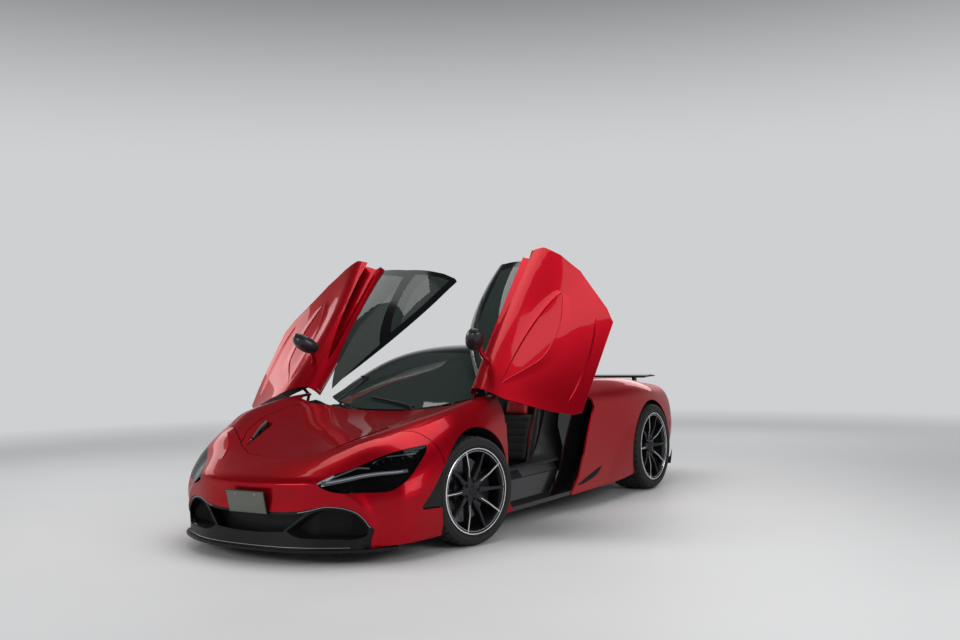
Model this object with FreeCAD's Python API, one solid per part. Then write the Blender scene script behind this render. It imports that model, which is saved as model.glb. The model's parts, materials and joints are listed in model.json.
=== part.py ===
# A mid-engined two-seat supercar with upward-swinging doors, parked with both doors open.
# X runs forward, Y to the car's left and Z up. The origin is on the floor, midway along the car.
import FreeCAD, Part
import math
import os

from FreeCAD import Placement, Rotation, Vector

# The driving dimensions, in millimetres and degrees, as rows of the sheet.
SIZES = [
    ("overall_length", 4543.0), ("overall_width", 1930.0), ("overall_height", 1196.0),
    ("wheelbase", 2670.0), ("front_overhang", 1020.0),
    ("front_track", 1674.0), ("rear_track", 1629.0),
    ("front_tyre_radius", 327.0), ("rear_tyre_radius", 345.5),
    ("front_tyre_width", 245.0), ("rear_tyre_width", 305.0),
    ("front_rim_radius", 258.0), ("rear_rim_radius", 271.0),
    ("front_arch_radius", 378.0), ("rear_arch_radius", 376.0),
    ("skin", 14.0), ("shut_gap", 5.0), ("liner", 6.0), ("glass", 6.0), ("canopy_wall", 34.0),
    ("door_skin", 20.0), ("door_lip", 6.0), ("lip_width", 28.0), ("door_depth", 84.0),
    ("door_margin", 46.0), ("door_gap", 7.0), ("roof_lip", 8.0), ("seat_gap", 0.3),
    ("splitter_height", 74.0), ("splitter_thickness", 16.0), ("lip_sink", 5.0),
    ("bonnet_pin_radius", 4.0), ("lamp_depth", 76.0), ("roof_border", 46.0),
    ("mirror_depth", 66.0), ("mirror_back", 16.0), ("mirror_width", 200.0), ("mirror_height", 124.0),
    ("mirror_arm", 13.0), ("duct_depth", 44.0), ("channel_depth", 64.0), ("trough_wall", 4.0),
    ("door_swing", 79.7), ("hinge_along", 106.0), ("hinge_pin_radius", 9.0), ("hinge_arm_radius", 11.0),
    ("hinge_foot_back", 284.5), ("hinge_foot_out", 787.0), ("hinge_foot_up", 745.0),
    ("hinge_head_back", 940.5), ("hinge_head_out", 292.0), ("hinge_head_up", 1073.0),
    ("steer_parked", -12.0), ("kingpin_inset", 70.0), ("kingpin_radius", 14.0),
    ("axle_radius", 30.0), ("pin_clearance", 0.3),
    ("disc_radius", 195.0), ("disc_thickness", 30.0),
    ("floor_height", 112.0), ("floor_thickness", 30.0), ("sill_inner", 745.0),
    ("steering_wheel_radius", 180.0), ("steering_rim_radius", 15.0),
    ("steering_ratio", 13.0),
]

doc = FreeCAD.newDocument("supercar")
sheet = doc.addObject("Spreadsheet::Sheet", "Sizes")
for row, (alias, value) in enumerate(SIZES, start=1):
    sheet.set(f"A{row}", alias)
    sheet.set(f"B{row}", str(value))
    sheet.setAlias(f"B{row}", alias)
doc.recompute()


def size(name):
    return float(sheet.get(name))


# The forms below are drawn on a car of these sizes and follow the sheet through fit().
DRAWN_HALF_LENGTH = 2271.5
DRAWN_FRONT_AXLE = 1251.5
DRAWN_REAR_AXLE = -1418.5
DRAWN_HALF_WIDTH = 965.0
DRAWN_HEIGHT = 1196.0

NOSE = size("overall_length") / 2
TAIL = -NOSE
FRONT_AXLE = NOSE - size("front_overhang")
REAR_AXLE = FRONT_AXLE - size("wheelbase")
HALF_WIDTH = size("overall_width") / 2


def fit_x(x):
    """Moves a drawn length with the nose, the axles and the tail of the sheet."""
    drawn = (-DRAWN_HALF_LENGTH, DRAWN_REAR_AXLE, DRAWN_FRONT_AXLE, DRAWN_HALF_LENGTH)
    real = (TAIL, REAR_AXLE, FRONT_AXLE, NOSE)
    k = 0 if x < drawn[1] else 1 if x < drawn[2] else 2
    return real[k] + (x - drawn[k]) * (real[k + 1] - real[k]) / (drawn[k + 1] - drawn[k])


def fit_y(y):
    return y * HALF_WIDTH / DRAWN_HALF_WIDTH


def fit_z(z):
    return z * size("overall_height") / DRAWN_HEIGHT


def fit(x, y, z):
    return Vector(fit_x(x), fit_y(y), fit_z(z))


# Surfaces as control nets, and layers between two depths under such a surface.
DEGREE = 3


def knots_for(count):
    spans = count - DEGREE
    mults = [DEGREE + 1] + [1] * (spans - 1) + [DEGREE + 1]
    return [float(k) for k in range(spans + 1)], mults


def greville(count):
    spans = count - DEGREE
    flat = [0.0] * DEGREE + [float(k) for k in range(spans + 1)] + [float(spans)] * DEGREE
    return [sum(flat[i + 1:i + 1 + DEGREE]) / DEGREE for i in range(count)]


def net_surface(poles):
    surface = Part.BSplineSurface()
    u_knots, u_mults = knots_for(len(poles))
    v_knots, v_mults = knots_for(len(poles[0]))
    surface.buildFromPolesMultsKnots(
        poles, u_mults, v_mults, u_knots, v_knots, False, False, DEGREE, DEGREE)
    return surface


def sunk_surface(poles, depth):
    """The surface a depth inside the one of these poles; a negative depth lies outside."""
    surface = net_surface(poles)
    us, vs = greville(len(poles)), greville(len(poles[0]))
    return net_surface([
        [p - surface.normal(u, v) * depth for p, v in zip(row, vs)]
        for row, u in zip(poles, us)])


def layer(poles, outer, inner, window=None):
    """The solid between two depths under a net; window limits it in the net's own parameters."""
    shells = [sunk_surface(poles, depth) for depth in (outer, inner)]
    u0, u1, v0, v1 = window or shells[0].bounds()
    pair = [s.toShape(u0, u1, v0, v1) for s in shells]
    faces = [f.Faces[0] for f in pair]
    edges = [[s.uIso(u0).toShape(v0, v1), s.uIso(u1).toShape(v0, v1),
              s.vIso(v0).toShape(u0, u1), s.vIso(v1).toShape(u0, u1)] for s in shells]
    faces += [Part.makeRuledSurface(a, b) for a, b in zip(*edges)]
    shell = Part.makeShell([f.Faces[0] for f in faces])
    shell.sewShape()
    solid = Part.makeSolid(shell.Shells[0] if shell.ShapeType != "Shell" else shell)
    if solid.Volume < 0:
        solid.reverse()
    return solid


def both_sides(half_rows):
    """A net over the whole width, from sections given on the left from the middle outwards."""
    rows = []
    for row in half_rows:
        left = [fit(*p) for p in row]
        rows.append([Vector(p.x, -p.y, p.z) for p in left[:0:-1]] + left)
    return rows


# The lower body, as sections from the tail to the nose. Each runs from the middle to the sill.
def section(x, *points):
    return [(x, y, z) for y, z in points]


BODY_ROWS = [
    [(-2215, 0, 835), (-2210, 200, 835), (-2195, 400, 832), (-2160, 580, 824), (-2115, 700, 800),
     (-2080, 780, 740), (-2055, 825, 640), (-2045, 842, 500), (-2035, 838, 380), (-2025, 815, 280)],
    [(-2110, 0, 850), (-2105, 200, 849), (-2095, 410, 844), (-2070, 590, 832), (-2040, 720, 810),
     (-2010, 805, 758), (-1990, 852, 660), (-1985, 870, 520), (-1980, 864, 390), (-1975, 840, 272)],
    section(-1930, (0, 870), (200, 868), (420, 858), (600, 842), (735, 826), (830, 785), (885, 700),
            (908, 555), (902, 395), (868, 255)),
    section(-1720, (0, 885), (200, 882), (420, 869), (600, 852), (740, 846), (846, 812), (910, 730),
            (936, 585), (932, 405), (892, 232)),
    section(-1500, (0, 890), (200, 888), (420, 874), (600, 860), (738, 872), (842, 848), (918, 772),
            (950, 620), (950, 420), (905, 205)),
    section(-1250, (0, 890), (200, 888), (420, 879), (585, 876), (718, 900), (822, 886), (908, 808),
            (948, 650), (950, 430), (915, 180)),
    section(-1000, (0, 888), (200, 887), (420, 881), (570, 888), (698, 914), (792, 902), (884, 826),
            (932, 675), (940, 445), (932, 158)),
    section(-750, (0, 884), (200, 884), (420, 881), (572, 894), (690, 919), (770, 904), (862, 822),
            (906, 680), (922, 440), (940, 146)),
    section(-500, (0, 880), (200, 880), (420, 880), (576, 895), (684, 919), (758, 902), (846, 812),
            (884, 672), (906, 430), (945, 142)),
    section(-200, (0, 872), (200, 872), (420, 874), (584, 890), (692, 915), (765, 895), (842, 796),
            (866, 645), (900, 415), (945, 140)),
    section(100, (0, 862), (200, 862), (420, 866), (592, 884), (706, 908), (780, 884), (846, 782),
            (858, 615), (910, 385), (945, 138)),
    section(400, (0, 850), (200, 850), (420, 856), (600, 874), (724, 896), (798, 872), (860, 768),
            (874, 600), (920, 380), (938, 136)),
    section(650, (0, 826), (200, 827), (420, 836), (608, 858), (738, 884), (812, 860), (876, 755),
            (900, 592), (922, 392), (926, 135)),
    section(860, (0, 794), (200, 797), (420, 812), (612, 842), (748, 872), (824, 848), (893, 745),
            (920, 585), (920, 400), (908, 134)),
    section(1050, (0, 756), (200, 761), (420, 780), (608, 818), (752, 852), (834, 830), (908, 728),
            (942, 578), (942, 400), (906, 130)),
    section(1250, (0, 724), (200, 729), (420, 748), (598, 784), (748, 818), (838, 798), (920, 700),
            (958, 560), (958, 390), (908, 126)),
    section(1450, (0, 694), (200, 698), (415, 716), (580, 752), (730, 778), (830, 750), (918, 650),
            (956, 515), (952, 360), (902, 118)),
    section(1650, (0, 655), (200, 660), (400, 678), (555, 710), (692, 716), (800, 655), (890, 560),
            (930, 440), (930, 310), (890, 110)),
    section(1850, (0, 606), (195, 611), (385, 628), (530, 648), (645, 630), (755, 560), (838, 470),
            (875, 370), (872, 265), (842, 104)),
    [(2030, 0, 555), (2028, 185, 558), (2018, 365, 566), (2000, 505, 558), (1980, 608, 510),
     (1962, 700, 445), (1945, 768, 375), (1936, 800, 305), (1930, 797, 228), (1920, 778, 99)],
    [(2155, 0, 500), (2152, 168, 500), (2132, 342, 502), (2092, 470, 500), (2052, 572, 468),
     (2018, 652, 415), (1996, 708, 352), (1986, 735, 285), (1980, 740, 205), (1971, 728, 92)],
    [(2203, 0, 474), (2199, 158, 475), (2176, 322, 477), (2134, 452, 476), (2090, 552, 442),
     (2052, 634, 390), (2024, 690, 330), (2009, 716, 268), (2002, 722, 196), (1992, 712, 91)],
    [(2228, 0, 446), (2223, 156, 447), (2200, 318, 449), (2158, 446, 449), (2113, 545, 414),
     (2074, 622, 366), (2045, 676, 312), (2029, 700, 254), (2021, 706, 188), (2009, 699, 90)],
    [(2230, 0, 420), (2225, 154, 420), (2202, 314, 420), (2161, 442, 416), (2117, 538, 386),
     (2078, 612, 344), (2050, 664, 296), (2035, 690, 243), (2027, 697, 182), (2016, 692, 90)],
    [(2220, 0, 345), (2215, 152, 345), (2194, 310, 343), (2158, 436, 336), (2118, 529, 316),
     (2082, 601, 288), (2056, 650, 254), (2042, 677, 214), (2034, 686, 167), (2024, 684, 89)],
    [(2232, 0, 240), (2228, 150, 240), (2206, 305, 237), (2169, 428, 231), (2129, 519, 220),
     (2093, 590, 203), (2069, 636, 182), (2055, 661, 159), (2047, 670, 133), (2036, 673, 89)],
    [(2264, 0, 88), (2260, 142, 88), (2241, 288, 88), (2205, 408, 88), (2166, 494, 88),
     (2130, 560, 88), (2106, 602, 88), (2092, 628, 88), (2082, 642, 88), (2062, 662, 88)],
]

# The canopy over cabin and engine, from its tail to the foot of the windscreen.
CANOPY_ROWS = [
    section(-1640, (0, 872), (110, 868), (220, 858), (320, 842), (400, 820), (460, 790), (500, 750)),
    section(-1450, (0, 915), (125, 910), (245, 896), (350, 874), (430, 845), (490, 805), (530, 755)),
    section(-1200, (0, 985), (140, 979), (275, 960), (390, 926), (475, 882), (540, 830), (585, 765)),
    section(-950, (0, 1062), (155, 1056), (305, 1034), (430, 992), (525, 934), (600, 862), (650, 780)),
    section(-700, (0, 1132), (165, 1126), (325, 1104), (460, 1057), (565, 982), (648, 885), (700, 790)),
    section(-450, (0, 1182), (172, 1176), (338, 1154), (478, 1106), (590, 1020), (680, 905), (735, 795)),
    section(-200, (0, 1200), (178, 1195), (348, 1174), (492, 1126), (606, 1034), (700, 908), (755, 790)),
    section(50, (0, 1186), (182, 1181), (356, 1161), (505, 1114), (620, 1022), (716, 897), (772, 780)),
    section(300, (0, 1128), (188, 1124), (368, 1105), (522, 1061), (638, 978), (734, 872), (790, 765)),
    section(550, (0, 1014), (196, 1011), (384, 995), (545, 958), (662, 897), (756, 822), (808, 740)),
    section(780, (0, 880), (205, 878), (400, 868), (566, 845), (685, 808), (772, 760), (820, 700)),
    section(980, (0, 752), (212, 751), (412, 745), (580, 728), (698, 700), (780, 660), (826, 610)),
    section(1120, (0, 660), (218, 659), (420, 654), (590, 640), (706, 615), (786, 578), (832, 530)),
]


def settled(rows, passes=2):
    """Poles whose surface passes near the drawn points."""
    poles = [list(row) for row in rows]
    for _ in range(passes):
        surface = net_surface(poles)
        us, vs = greville(len(poles)), greville(len(poles[0]))
        poles = [
            [p + (aim - surface.value(u, v)) for p, aim, v in zip(row, aims, vs)]
            for row, aims, u in zip(poles, rows, us)]
    return poles


BODY = settled(both_sides(BODY_ROWS))
CANOPY = settled(both_sides(CANOPY_ROWS))
SKIN = size("skin")
GAP = size("shut_gap")
REST = []


def add(label, shape, placement=None):
    """Keeps a finished piece as a node; placement is where it rests."""
    feature = doc.addObject("Part::Feature", label)
    feature.Shape = shape
    if placement is not None:
        feature.Placement = placement * shape.Placement
    REST.append(feature)
    return feature


def prism(axis, outline, low, high, grow=0.0):
    """A closed outline in the other two axes, in order, grown and carried along the axis."""
    k = "xyz".index(axis)

    def place(pair, along):
        spot = list(pair)
        spot.insert(k, along)
        return Vector(*spot)

    ring = [place(p, low) for p in outline]
    face = Part.Face(Part.makePolygon(ring + ring[:1]))
    if grow:
        face = Part.Face(face.OuterWire.makeOffset2D(grow, 2))
    return face.extrude(place((0, 0), high - low))


def smooth_prism(axis, outline, low, high):
    """The same with a closed curve through the points."""
    k = "xyz".index(axis)

    def place(pair, along):
        spot = list(pair)
        spot.insert(k, along)
        return Vector(*spot)

    curve = Part.BSplineCurve()
    curve.interpolate([place(p, low) for p in outline], PeriodicFlag=True)
    return Part.Face(Part.Wire([curve.toShape()])).extrude(place((0, 0), high - low))


def arc_prism(axis, arcs, low, high):
    """A closed outline of smooth arcs, each through its own points, that meet in corners."""
    k = "xyz".index(axis)
    edges = []
    for arc in arcs:
        points = [Vector(*p[:k], low, *p[k:]) for p in arc]
        if len(points) == 2:
            edges.append(Part.makeLine(*points))
        else:
            curve = Part.BSplineCurve()
            curve.interpolate(points)
            edges.append(curve.toShape())
    run = Vector(*[high - low if i == k else 0 for i in range(3)])
    return Part.Face(Part.Wire(edges)).extrude(run)


def drawn(axis, outline):
    """Outline points moved from the drawn car to the car of the sheet."""
    movers = [m for a, m in zip("xyz", (fit_x, fit_y, fit_z)) if a != axis]
    return [tuple(m(c) for m, c in zip(movers, p)) for p in outline]


def drawn_arcs(axis, arcs):
    return [drawn(axis, arc) for arc in arcs]


def box(x0, x1, y0, y1, z0, z1):
    return Part.makeBox(x1 - x0, y1 - y0, z1 - z0, Vector(x0, y0, z0))


def cylinder(radius, start, end):
    run = end - start
    return Part.makeCylinder(radius, run.Length, start, run)


def mirrored(shape):
    return shape.mirror(Vector(0, 0, 0), Vector(0, 1, 0))


def pair(shape):
    return Part.makeCompound([shape, mirrored(shape)])


def body_band(first, last, outer=0.0, inner=None, half=False):
    """The body's shell between two of its sections, over the whole width or the left half."""
    us, vs = greville(len(BODY)), greville(len(BODY[0]))
    window = (us[first], us[last], vs[len(vs) // 2] if half else vs[0], vs[-1])
    return layer(BODY, outer, SKIN if inner is None else inner, window)


def largest(shape):
    return max(shape.Solids, key=lambda s: s.Volume)


def arch(x, radius, inside, outside):
    return cylinder(radius, Vector(x, inside, wheel_height(x)), Vector(x, outside, wheel_height(x)))


def wheel_height(x):
    return size("front_tyre_radius") if x > 0 else size("rear_tyre_radius")


FRONT_ARCH = arch(FRONT_AXLE, size("front_arch_radius"), 560, 1100)
REAR_ARCH = arch(REAR_AXLE, size("rear_arch_radius"), 520, 1100)

# Shut lines of the door, seen from the side, and of the roof, seen from above.
DOOR_SIDE = drawn("y", [
    (799, 138), (832, 190), (858, 320), (868, 454), (870, 620), (850, 700), (822, 780),
    (800, 850), (790, 930), (-396, 930), (-404, 850), (-420, 775), (-378, 640), (-276, 470),
    (-110, 310), (0, 205), (62, 165), (98, 138)])
ROOF_PLAN = drawn("z", [
    (800, 830), (790, 705), (700, 650), (500, 566), (294, 486), (60, 398), (-160, 316),
    (-420, 224), (-538, 178), (-556, 200), (-536, 300), (-482, 430), (-418, 560), (-388, 690),
    (-390, 800)])

BONNET_PLAN = drawn("z", [
    (980, 0), (978, 250), (966, 470), (1010, 585), (1200, 628), (1450, 596), (1700, 505),
    (1880, 395), (1985, 225), (2010, 0)])
NOSE_PLAN = drawn("z", [
    (2004, 0), (1979, 231), (1873, 402), (1760, 560), (1640, 740), (1600, 860), (1596, 1100),
    (2500, 1100), (2500, 0)])
SCREEN_PLAN = drawn("z", [
    (1030, 0), (1030, 640), (880, 660), (690, 570), (500, 492), (340, 424), (268, 380), (246, 200),
    (240, 0)])
SCUTTLE_PLAN = drawn("z", [
    (868, 0), (868, 560), (840, 640), (840, 728), (926, 728), (980, 684), (994, 592), (950, 520),
    (960, 470), (972, 255), (974, 0)])
QUARTER_SIDE = drawn("y", [
    (50, 60), (46, 150), (-16, 186), (-110, 250), (-247, 390), (-372, 558), (-490, 718),
    (-480, 770), (-436, 802), (-418, 850), (-406, 1000), (-2500, 1000), (-2500, 60)])
INTAKE_SIDE = drawn("y", [
    (180, 165), (-5, 300), (-119, 456), (-98, 607), (-170, 780), (-430, 850), (-600, 800),
    (-600, 700), (-430, 520), (-300, 340), (-120, 190), (94, 150)])
REAR_GLASS_PLAN = drawn("z", [
    (-640, 0), (-628, 150), (-700, 235), (-1120, 165), (-1130, 0)])
QUARTER_GLASS_PLAN = drawn("z", [
    (-590, 300), (-520, 420), (-470, 560), (-455, 640), (-600, 620), (-800, 520), (-960, 380),
    (-980, 300), (-760, 322)])
DECK_FRONT = fit_x(-1180)


def whole(outline):
    """A plan outline given on the left, closed over the middle to the right."""
    return outline + [(x, -y) for x, y in reversed(outline) if y > 0]


def across(line):
    """A line given from the middle to the left, run from the left end to the right end."""
    return line[::-1] + [(x, -y) for x, y in line[1:]]


def side_cut(outline, grow=0.0):
    return prism("y", outline, 560, 1200, grow)


def plan_cut(outline, grow=0.0, low=0.0):
    return prism("z", outline, low, 1400, grow)


# Front panels: bonnet, scuttle, wings and nose, all out of the one shell.
LAST = len(BODY) - 1
front_shell = body_band(12, LAST)
front_half = body_band(12, LAST, half=True)
door_side_wide = side_cut(DOOR_SIDE, size("door_gap"))
bonnet_hole = plan_cut(whole(BONNET_PLAN), GAP, 300)
nose_zone = plan_cut(whole(NOSE_PLAN))
DUCT_PLAN = drawn_arcs("z", [
    [(1895, 338), (1800, 388), (1700, 446), (1600, 498), (1500, 541)], [(1500, 541), (1518, 462)],
    [(1518, 462), (1600, 430), (1700, 392), (1800, 360), (1895, 338)]])
duct_hole = arc_prism("z", DUCT_PLAN, 400, 1000)
duct_trough = body_band(14, 20, SKIN - 2, size("duct_depth") + size("trough_wall"), half=True).common(
    prism("z", DUCT_PLAN[0] + DUCT_PLAN[2][:-1], 400, 1000, size("trough_wall")))
duct_trough = duct_trough.cut(body_band(14, 20, -5, size("duct_depth"), half=True).common(duct_hole))
BONNET_PIN = fit(975, 575, 790)
hinge_sleeve = 2 * size("bonnet_pin_radius")
bonnet_arm = body_band(12, 15, SKIN - 1, SKIN + 24, half=True).common(box(
    BONNET_PIN.x + 4, BONNET_PIN.x + 90, BONNET_PIN.y - 7, BONNET_PIN.y + 7, 600, 1000))
bonnet_arm = bonnet_arm.fuse([
    box(BONNET_PIN.x, BONNET_PIN.x + 24, BONNET_PIN.y - 7, BONNET_PIN.y + 7, BONNET_PIN.z - 6,
        BONNET_PIN.z + 6),
    cylinder(hinge_sleeve, BONNET_PIN - Vector(0, 9, 0), BONNET_PIN + Vector(0, 9, 0))])
bonnet_arm = bonnet_arm.cut(cylinder(
    size("bonnet_pin_radius") + size("pin_clearance"), BONNET_PIN - Vector(0, 12, 0),
    BONNET_PIN + Vector(0, 12, 0)))
bonnet = front_shell.common(plan_cut(whole(BONNET_PLAN), 0, 300)).cut(
    [duct_hole, mirrored(duct_hole)])
bonnet = largest(bonnet.fuse([duct_trough, mirrored(duct_trough), bonnet_arm, mirrored(bonnet_arm)]))
hinge_notch = box(BONNET_PIN.x - 16, BONNET_PIN.x + 100, BONNET_PIN.y - 16, BONNET_PIN.y + 30, 600,
                  1000)
pin_notch = box(BONNET_PIN.x - 160, BONNET_PIN.x, fit_y(684), fit_y(740), 600, 1000)
scuttle = largest(body_band(12, 15, 30, 42).common(plan_cut(whole(SCUTTLE_PLAN), 0, 300)).cut(
    [hinge_notch, mirrored(hinge_notch), pin_notch, mirrored(pin_notch)]))

HEADLAMP_FRONT = drawn_arcs("x", [
    [(441, 448), (500, 490), (581, 526), (678, 580), (765, 616), (834, 634)],
    [(834, 634), (852, 590), (856, 530), (842, 452), (800, 408), (668, 395), (532, 402), (479, 421),
     (441, 448)]])
headlamp_zone = arc_prism("x", HEADLAMP_FRONT, fit_x(1625), fit_x(2200))
VENT_SIDE = drawn("y", [
    (1528, 588), (1612, 502), (1700, 404), (1790, 300), (1776, 284), (1600, 276), (1480, 276),
    (1480, 560)])
vent_zone = side_cut(VENT_SIDE)
MOUTH_TOP = [(723, 192), (700, 234), (665, 277), (625, 305), (584, 319), (530, 325), (476, 324),
             (400, 308), (300, 293), (150, 287)]
MOUTH_EDGE = [(723, 192), (713, 160), (704, 120), (700, 60)]


def over_middle(arc):
    """An arc from the left down to the middle, carried on to the right."""
    return arc + [(-y, z) for y, z in reversed(arc)]


mouth_zone = arc_prism("x", drawn_arcs("x", [
    over_middle(MOUTH_TOP), [(-y, z) for y, z in MOUTH_EDGE],
    [(-700, 60), (700, 60)], MOUTH_EDGE[::-1]]), fit_x(1900), fit_x(2400))
duct_zone = arc_prism("x", drawn_arcs("x", [
    [(272, 188), (345, 242), (410, 286), (480, 306), (560, 306), (630, 279), (700, 202)],
    [(700, 202), (682, 160), (600, 144), (440, 148), (330, 158), (272, 188)]]),
    fit_x(1900), fit_x(2400))
grille_zone = arc_prism("x", drawn_arcs("x", [
    over_middle([(372, 284), (300, 277), (150, 272)]),
    [(-372, 284), (-326, 246), (-250, 182)], [(-250, 182), (0, 172), (250, 182)],
    [(250, 182), (326, 246), (372, 284)]]), fit_x(1900), fit_x(2400))

# The splitter: a blade under the bumper, and the lips of the grille and of the side ducts.
SPLITTER_TOP = size("splitter_height") + size("splitter_thickness")
blade = prism("z", whole(drawn("z", [
    (2276, 0), (2268, 150), (2252, 290), (2216, 414), (2176, 502), (2142, 566), (2108, 622),
    (2060, 690), (1990, 752), (1880, 800), (1800, 700), (1800, 0)])),
    size("splitter_height"), SPLITTER_TOP)
lips = body_band(LAST - 7, LAST, size("lip_sink"), size("lip_sink") + 12).common(mouth_zone)
lips = lips.cut([duct_zone, mirrored(duct_zone), grille_zone])
splitter = largest(blade.fuse(lips))

nose = front_shell.common(nose_zone)
nose = nose.cut([headlamp_zone, mirrored(headlamp_zone), vent_zone, mirrored(vent_zone),
                 FRONT_ARCH, mirrored(FRONT_ARCH), mouth_zone, blade, bonnet_hole])
nose = largest(nose)
wing_shoulder = side_cut(drawn("y", [
    (780, 700), (872, 700), (846, 780), (828, 850), (820, 940), (780, 940)]))
wing_step = body_band(11, 15, size("door_lip"), SKIN + 2, half=True).common(
    side_cut(DOOR_SIDE, size("door_gap") + 20))
wing = front_half.cut([
    plan_cut(whole(NOSE_PLAN), GAP), bonnet_hole, door_side_wide, FRONT_ARCH, headlamp_zone,
    vent_zone, wing_step, wing_shoulder, plan_cut(whole(drawn("z", [
        (400, 0), (400, 735), (930, 735), (985, 690), (1000, 590), (990, 0)])), 0, 300)])
wing = wing.cut(box(fit_x(985), fit_x(1014), fit_y(560), fit_y(594), 600, 1000))
wing = largest(wing)
vent_panel = largest(body_band(15, 20, SKIN + size("seat_gap"), SKIN + 9, half=True).common(
    side_cut(VENT_SIDE, 14)).cut(arch(
        FRONT_AXLE, size("front_arch_radius") + 2 + size("liner") + size("seat_gap"), 560, 1100)))
lamp_ring = HEADLAMP_FRONT[0] + HEADLAMP_FRONT[1][1:-1]
lamp_bowl = body_band(15, 22, SKIN + size("seat_gap"), size("lamp_depth"), half=True).common(
    prism("x", lamp_ring, fit_x(1620), fit_x(2200), size("trough_wall")))
lamp_bowl = largest(lamp_bowl.cut([
    body_band(15, 22, -5, size("lamp_depth") - 6, half=True).common(headlamp_zone), FRONT_ARCH]))
lamp_cover = largest(body_band(15, 22, 1, 5, half=True).common(headlamp_zone).cut(FRONT_ARCH))

# The canopy: glass let into a frame of one thickness, above the body's surface.
canopy_foot = body_band(0, 16, -size("seat_gap"), 330)


def canopy(outer, inner, half=False):
    us, vs = greville(len(CANOPY)), greville(len(CANOPY[0]))
    window = (us[0], us[-1], vs[len(vs) // 2] if half else vs[0], vs[-1])
    return layer(CANOPY, outer, inner, window)


canopy_shell = canopy(0, size("canopy_wall")).cut(canopy_foot)
ROOF_LIP = size("roof_lip")


def roof_zone(grow):
    return plan_cut(ROOF_PLAN, grow, 500)


roof_step = canopy(ROOF_LIP, size("canopy_wall") + 2, half=True).common(
    roof_zone(size("door_gap") + 12))
roof_door_wide = roof_zone(size("door_gap"))
door_top_wide = side_cut(DOOR_SIDE, size("door_gap") + 4)
glass_sheet = canopy(0, size("glass")).cut(canopy_foot)
glass_zones = [plan_cut(whole(SCREEN_PLAN), 0, 500), plan_cut(whole(REAR_GLASS_PLAN), 0, 500),
               plan_cut(QUARTER_GLASS_PLAN, 0, 500)]
glass_zones.append(mirrored(glass_zones[2]))
windscreen = largest(glass_sheet.common(glass_zones[0]))
rear_glass = [largest(glass_sheet.common(zone)) for zone in glass_zones[1:]]
cabin_zone = box(DECK_FRONT, 2000, -1200, 1200, 0, 1400)
roof_openings = [roof_door_wide, roof_step, door_top_wide]
roof_frame = largest(canopy_shell.common(cabin_zone).cut(
    glass_zones + roof_openings + [mirrored(o) for o in roof_openings]))
SEAT = size("seat_gap")
engine_cover = largest(canopy(0, SKIN).cut(canopy_foot).cut(
    box(DECK_FRONT - SEAT, 2000, -1200, 1200, 0, 1400)))

# Rear panels: the quarters run from the door over the haunch to the tail.
rear_shell = body_band(0, 11)
deck_hole = plan_cut(whole(drawn("z", [
    (400, 0), (400, 700), (-400, 690), (-560, 640), (-900, 560), (-1300, 470), (-1560, 380),
    (-1640, 250), (-1650, 0)])), 0, 500)
quarter_zone = prism("y", QUARTER_SIDE, 300, 1200)
quarter = largest(rear_shell.common(quarter_zone).cut([deck_hole, REAR_ARCH]))
deck = largest(rear_shell.cut([deck_hole, quarter_zone, mirrored(quarter_zone)]).common(
    box(-2600, fit_x(-1600), -300, 300, 500, 1200)))
intake_wall = largest(body_band(6, 12, 95, 108.4, half=True).common(
    side_cut(INTAKE_SIDE)).common(box(-2000, 2000, fit_y(640), 1200, 0, 1400)))

# The doors, drawn shut: skin, pressed inner frame, side and roof glass.
cabin_top = prism("z", drawn("z", [
    (1000, 690), (905, 705), (650, 690), (300, 672), (0, 655), (-300, 640), (-500, 632), (-500, 0),
    (1000, 0)]), 500, 1400)
LIP = size("door_lip")
# The thin lip runs round its front, foot and back; the edge under the glass keeps the full skin.
full_skin = side_cut(DOOR_SIDE, -size("lip_width")).fuse(
    box(fit_x(-396) + size("lip_width"), fit_x(790) - size("lip_width"), fit_y(560), fit_y(800),
        fit_z(860), fit_z(1000)))
door_plate = body_band(7, 14, 0, LIP, half=True).common(side_cut(DOOR_SIDE)).fuse(
    body_band(7, 14, LIP, size("door_skin"), half=True).common(full_skin))
CHANNEL_PLAN = drawn("z", [
    (540, 768), (420, 786), (250, 800), (0, 810), (-250, 812), (-520, 800), (-520, 712),
    (-250, 727), (0, 737), (250, 746), (420, 752)])
channel = body_band(7, 14, -5, size("channel_depth"), half=True).common(
    prism("z", CHANNEL_PLAN, 600, 1200))
trough = body_band(7, 14, 3, size("channel_depth") + size("trough_wall"), half=True).common(
    prism("z", CHANNEL_PLAN, 600, 1200, size("trough_wall"))).common(side_cut(DOOR_SIDE, -4))
door_skin = largest(door_plate.fuse(trough).cut([cabin_top, channel]))
door_inner = body_band(7, 14, size("door_skin"), size("door_depth"), half=True)
channel_room = prism("z", CHANNEL_PLAN, 600, 1200, size("trough_wall") + 1)
hinge_room = prism("y", drawn("y", [(752, 940), (752, 790), (810, 700), (900, 700), (900, 940)]),
                   500, 1200)
door_inner = largest(door_inner.common(
    prism("y", DOOR_SIDE, 560, 1200, -size("door_margin"))).cut([cabin_top, channel_room, hinge_room]))
door_foot = body_band(6, 15, -size("seat_gap"), 330, half=True)
door_roof = canopy(0, ROOF_LIP, half=True).common(roof_zone(0)).fuse(
    canopy(ROOF_LIP, size("canopy_wall"), half=True).common(roof_zone(-12)))
door_roof = largest(door_roof.cut(door_foot))

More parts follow.
